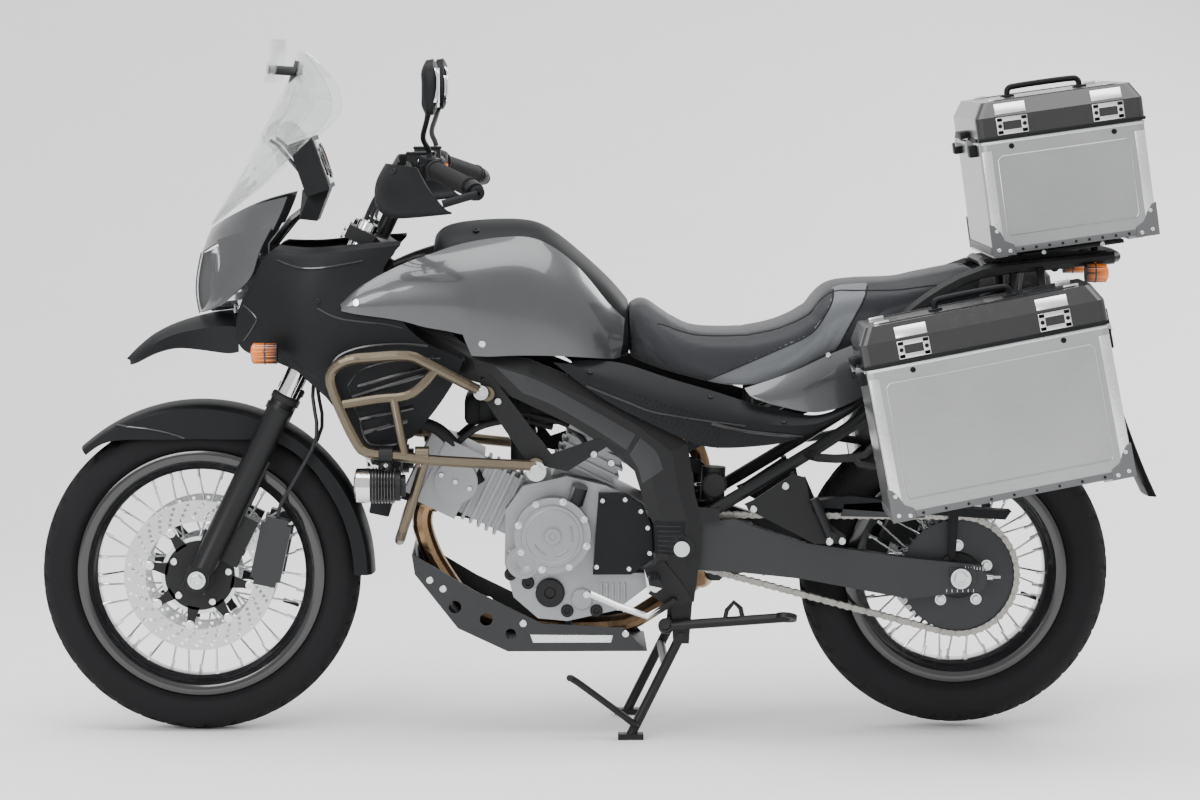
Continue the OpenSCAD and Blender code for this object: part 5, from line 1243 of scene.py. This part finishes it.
# radiator fins and edges
m = Mesh()
rr = turned(-12)
rc = mm(424, 0, 560)
for k in range(46):
    m.box(rc + rr @ mm(-1, 0, -92 + 4.1 * k), (0.038, 0.262, 0.0007), rr, 0, 0)
for k in range(14):
    m.box(rc + rr @ mm(-1, -130 + 20 * k, 0), (0.037, 0.0022, 0.186), rr, 0, 0)
for s in (1, -1):
    m.box(rc + rr @ mm(-1, s * 140, 0), (0.042, 0.022, 0.197), rr, 0.004, 1)
    m.box(rc + rr @ mm(-1, 0, s * 96), (0.041, 0.27, 0.007), rr, 0.002, 1)
m.build("radiator_fins", "chassis", "black_metal", [CHARCOAL, PLASTIC])

# exhaust joints and silencer strap
m = Mesh()
a, b = mm(-394, -214, 340), mm(-840, -214, 455)
w = (b - a).normalized()
for t, hgt in ((0.012, 0.018), (0.425, 0.016)):
    m.lathe(a + w * t, w, [(0, 0.0502), (0.0008, 0.0522), (hgt - 0.0008, 0.0522), (hgt, 0.0502)], 48, 0)
m.lathe(a + w * 0.28, w, [(0, 0.0502), (0.0008, 0.0518), (0.021, 0.0518), (0.022, 0.0502)], 48, 1)
for k in range(3):
    m.bolt(a + w * (0.06 + 0.14 * k) + Vector((0, -0.0495, 0)), (0, -1, 0), 0.004, 0.002, 0)
m.build("silencer_bands", "chassis", "steel", [STEEL, BLACK])

# skid plate: bolts and a blank plate
m = Mesh()
for s in (1, -1):
    for x, z in ((341, 326), (314, 308), (-60, 214), (150, 236)):
        stud(m, "skid_plate", x, z, s, 0.0075, 0.004, 0)
    hit, nrm = touch("skid_plate", mm(60, s * 400, 205), (0, -s, 0))
    if hit is not None:
        y = hit.y * 1000
        m.slab([(136, 213), (130, 196), (-30, 196), (-34, 211)], y - s * 0.3, y + s * 1.4, 0.0006, 1)
m.build("skid_plate_trim", "chassis", "steel", [STEEL, BRIGHT])

# ---------- cockpit ----------

m = Mesh()
for s in (1, -1):
    a, b = mm(252, s * 411, 1139), mm(324, s * 279, 1169)
    w = (b - a).normalized()
    ln = (b - a).length
    prof = [(0, 0.0175), (0.001, 0.0200), (0.005, 0.0200), (0.006, 0.0178)]
    k = 0.010
    while k < ln - 0.018:
        prof += [(k, 0.0176), (k + 0.0006, 0.0184), (k + 0.0036, 0.0184), (k + 0.0042, 0.0176)]
        k += 0.0058
    prof += [(ln - 0.010, 0.0178), (ln - 0.009, 0.0215), (ln - 0.003, 0.0215), (ln - 0.002, 0.0180)]
    m.lathe(a, w, prof, 32, 0)
    c = b + w * 0.022
    rot = w.to_track_quat("X", "Z").to_matrix()
    m.box(c, (0.040, 0.036, 0.044), rot, 0.006, 1)
    m.box(c + Vector((-0.018, 0, 0.006)), (0.007, 0.012, 0.010), rot, 0.002, 2)
    m.box(c + Vector((-0.018, -s * 0.012, -0.010)), (0.007, 0.014, 0.007), rot, 0.002, 3)
    m.box(c + Vector((-0.016, s * 0.012, 0.016)), (0.006, 0.009, 0.006), rot, 0.001, 2)
    m.lathe(mm(240, s * 433, 1131), Vector((-0.4, s * 0.85, -0.2)),
            [(0, 0.0125), (0.002, 0.0145), (0.012, 0.0145), (0.014, 0.012),
                                                                (0.014, 0.004), (0.010, 0.003),
                                                                (0.010, 0)], 24, 1)
    rcx = mm(352, s * 218, 1201)
    m.box(rcx, (0.060, 0.048, 0.005), None, 0.002, 1)
    for e in (1, -1):
        m.bolt(rcx + Vector((e * 0.022, e * 0.016, 0.0022)), (0, 0, 1), 0.0032, 0.0016, 4)
    m.lathe(mm(348, s * 242, 1184), (0, s, 0),
            [(0, 0.010), (0.0015, 0.010), (0.002, 0.008), (0.001, 0)], 24, 5)
m.build("grips_and_switches", "steering", "rubber", [RUBBER, PLASTIC, GREYPL, ORANGE, STEEL, LENS])

m = Mesh()
for s in (1, -1):
    m.tube(spline([mm(344, s * 232, 1176), mm(398, s * 190, 1160), mm(440, s * 130, 1120),
            mm(470, s * 96, 1060),
                   mm(478, s * 84, 1000)], 8), 0.0042, 10, 0)
    m.tube(spline([mm(334, s * 262, 1160), mm(400, s * 214, 1134), mm(446, s * 150, 1090),
            mm(462, s * 92, 1040)], 8),
           0.0036, 10, 0)
m.tube(spline([mm(352, 222, 1166), mm(384, 168, 1140), mm(410, 110, 1090), mm(440, 60, 1030)], 8),
        0.0036, 10, 0)
m.build("bar_cables", "steering", "rubber", BRAID)

m = Mesh()
rp = turned(19)
pc = mm(583, 0, 1170)
face = pc + rp @ mm(-25.5, 0, 0)
m.box(face, (0.0025, 0.196, 0.094), rp, 0.001, 0)
for cy, rad in ((-48, 38), (40, 30)):
    fc = pc + rp @ mm(-26.8, cy, 0)
    m.lathe(fc, rp @ Vector((-1, 0, 0)),
            [(0, rad * MM), (0.003, rad * MM), (0.003, (rad - 3) * MM), (0.0006, (rad - 5) * MM),
                                         (0.0006, 0)], 48, 1)
m.box(pc + rp @ mm(-27.2, 88, 28), (0.002, 0.014, 0.008), rp, 0.0008, 3)
m.box(pc + rp @ mm(-27.2, 88, 12), (0.002, 0.014, 0.008), rp, 0.0008, 3)
fc = pc + rp @ mm(-27.6, -48, 0)
m.rod(fc, fc + rp @ mm(0, 18, 22), 0.0011, 6, 2)
m.build("dash_faces", "chassis", "lamp_glass", [DISPLAY, SMOOTH, ORANGE, GREYPL])

# ---------- draped panels ----------


def drape(m, node, upper, lower, side, thick=0.0012, n=26, k=6, mat=0, sink=0.0006):
    """Thin sheet laid on the side of a node between two lines of x, z points (millimetres)."""
    high = spline([(p[0], 0, p[1]) for p in upper], 12)
    low = spline([(p[0], 0, p[1]) for p in lower], 12)

    def at(line, t):
        q = t * (len(line) - 1)
        i = min(int(q), len(line) - 2)
        return line[i].lerp(line[i + 1], q - i)
    out, base = [], []
    last = None
    for i in range(n + 1):
        for j in range(k + 1):
            p = at(high, i / n).lerp(at(low, i / n), j / k)
            hit, nrm = touch(node, mm(p.x, side * 700, p.z), (0, -side, 0))
            y = hit.y * side if hit is not None else last
            if y is None:
                y = 0.1
            last = y
            edge = i in (0, n) or j in (0, k)
            out.append((p.x * MM, side * (y + (thick * 0.4 if edge else thick)), p.z * MM))
            base.append((p.x * MM, side * (y - sink), p.z * MM))
    c = k + 1
    t = (n + 1) * c
    f = [(i * c + j, i * c + j + 1, (i + 1) * c + j + 1,
            (i + 1) * c + j) for i in range(n) for j in range(k)]
    f += [tuple(q + t for q in reversed(g)) for g in f]
    ring = [j for j in range(c)] + [i * c + k for i in range(1,
            n + 1)] + [n * c + j for j in range(k - 1, -1, -1)]
    ring += [i * c for i in range(n - 1, 0, -1)]
    f += [(ring[q], ring[(q + 1) % len(ring)], ring[(q + 1) % len(ring)] + t,
            ring[q] + t) for q in range(len(ring))]
    m.add(out + base, f, mat)


m = Mesh()
for s in (1, -1):
    drape(m, "main_frame", [(206, 770), (120, 742), (30, 694), (-78, 632)],
            [(150, 716), (90, 692), (10, 646), (-60, 600)], s)
    drape(m, "main_frame", [(-88, 624), (-120, 596), (-134, 560)], [(-66, 590), (-84, 560), (-92, 530)],
            s, k=4)
m.build("frame_beam_faces", "chassis", "grey_paint", CHARCOAL, angle=50)

m = Mesh()
for s in (1, -1):
    drape(m, "main_frame", [(-100, 452), (-180, 452)], [(-104, 388), (-176, 384)], s, 0.003, 12, 8, 0)
    for k in range(6):
        z = 443 - 10 * k
        seam(m, "main_frame", [(-112, z), (-140, z - 0.5), (-170, z - 1)], s, 0.0024, 1, lift=0.003)
m.build("pivot_plate_pads", "chassis", "black_plastic", [PLASTIC, RUBBER])

repaint("footrests", BRIGHT, lambda c: abs(c.y) > 0.12 and c.x > -0.118 and c.z < 0.34)

# bright bent gear and brake lever ends, pegs with rubbers
m = Mesh()
for s in (1, -1):
    for k in range(6):
        hit, nrm = touch("footrests", mm(-150 + 3.5 * k - 9, s * 215, 700), (0, 0, -1))
        if hit is not None and hit.z < 0.36:
            m.box(hit + Vector((0, 0, 0.001)), (0.0022, 0.062, 0.004), None, 0.001, 0)
m.lathe(mm(95, 118, 300), (0, 1, 0),
        [(0, 0.030), (0.012, 0.030), (0.014, 0.027), (0.014, 0.012), (0.010, 0.010), (0.010, 0)], 32, 1)
m.lathe(mm(30, 118, 286), (0, 1, 0), [(0, 0.022), (0.010, 0.022), (0.012, 0.019), (0.012, 0)], 32, 2)
for x, z in ((140, 320), (176, 338), (60, 262), (0, 262)):
    hit, nrm = touch("crankcase", mm(x, 400, z), (0, -1, 0))
    if hit is not None:
        m.lathe(hit - Vector((0, 0.001, 0)), (0, 1, 0),
                [(0, 0.013), (0.006, 0.013), (0.008, 0.011), (0.008, 0.006), (0.004, 0.005),
                (0.004, 0)], 24, 1)
for k in range(5):
    m.box(mm(-10 - 12 * k, 121.5, 300), (0.005, 0.004, 0.040), None, 0.0015, 2)
for k in range(3):
    a0, a1 = math.radians(150 + 70 * k), math.radians(195 + 70 * k)
    pts = [gc + Vector((math.cos(a0 + (a1 - a0) * q / 8) * 0.040, 0.1722,
            math.sin(a0 + (a1 - a0) * q / 8) * 0.040))
           for q in range(9)]
    m.tube(pts, 0.0022, 8, 2)
m.build("lower_engine_castings", "chassis", "engine_alloy", [RUBBER, BLACK, CAST])

# mirror glass
m = Mesh()
for s in (1, -1):
    rows = []
    for z in range(-4, 5):
        row = []
        for y in range(-5, 6):
            p = mm(290, s * 392 + 8.6 * y, 1333 + 9.5 * z)
            hit, nrm = touch("mirrors", p - mm(120, 0, 0), (1, 0, 0))
            row.append(hit)
        rows.append(row)
    for i in range(8):
        for j in range(10):
            q = [rows[i][j], rows[i][j + 1], rows[i + 1][j + 1], rows[i + 1][j]]
            if all(v is not None for v in q):
                m.add([v - Vector((0.0009, 0, 0)) for v in q], [(0, 1, 2, 3)], 0)
m.build("mirror_glass", "steering", "clear", MIRROR, thick=0.0008)

# fork seals, yoke bolts, caliper bolts, fender bolts
m = Mesh()
st = Matrix.Rotation(math.radians(-RAKE), 3, "Y")
so = mm(*STEER_FOOT)


def along(x, y, z):
    return so + st @ mm(x, y, z)


up = st @ Vector((0, 0, 1))
for s in (1, -1):
    c = along(45, s * 105, 404)
    m.lathe(c, up, [(0, 0.0262), (0.001, 0.0285), (0.012, 0.0285), (0.015, 0.0262), (0.016, 0.0217)],
            40, 0)
    c = along(45, s * 105, 806)
    m.lathe(c, up, [(0, 0.0205), (0.004, 0.0205), (0.006, 0.018), (0.006, 0.0075), (0.009, 0.0072),
            (0.009, 0)], 32, 1)
    for h in (523, 772):
        for e in (-8, 8):
            m.bolt(along(45 + 36, s * 125, h + e), st @ Vector((1, 0, 0)), 0.0058, 0.005, 1)
    for x, z in ((715, 439), (725, 385)):
        hit, nrm = touch("front_calipers", mm(x, s * 400, z), (0, -s, 0))
        if hit is not None:
            m.bolt(hit - Vector((0, s * 0.0005, 0)), (0, s, 0), 0.0075, 0.006, 1)
    stud(m, "front_fender", 747, 577, s, 0.010, 0.005, 1, "nut")
    stud(m, "front_fender", 860, 600, s, 0.006, 0.003, 0)
for s in (1, -1):
    stud(m, "handguards", 400, 1170, s, 0.006, 0.003, 0)
m.build("fork_hardware", "steering", "steel", [RUBBER, STEEL])
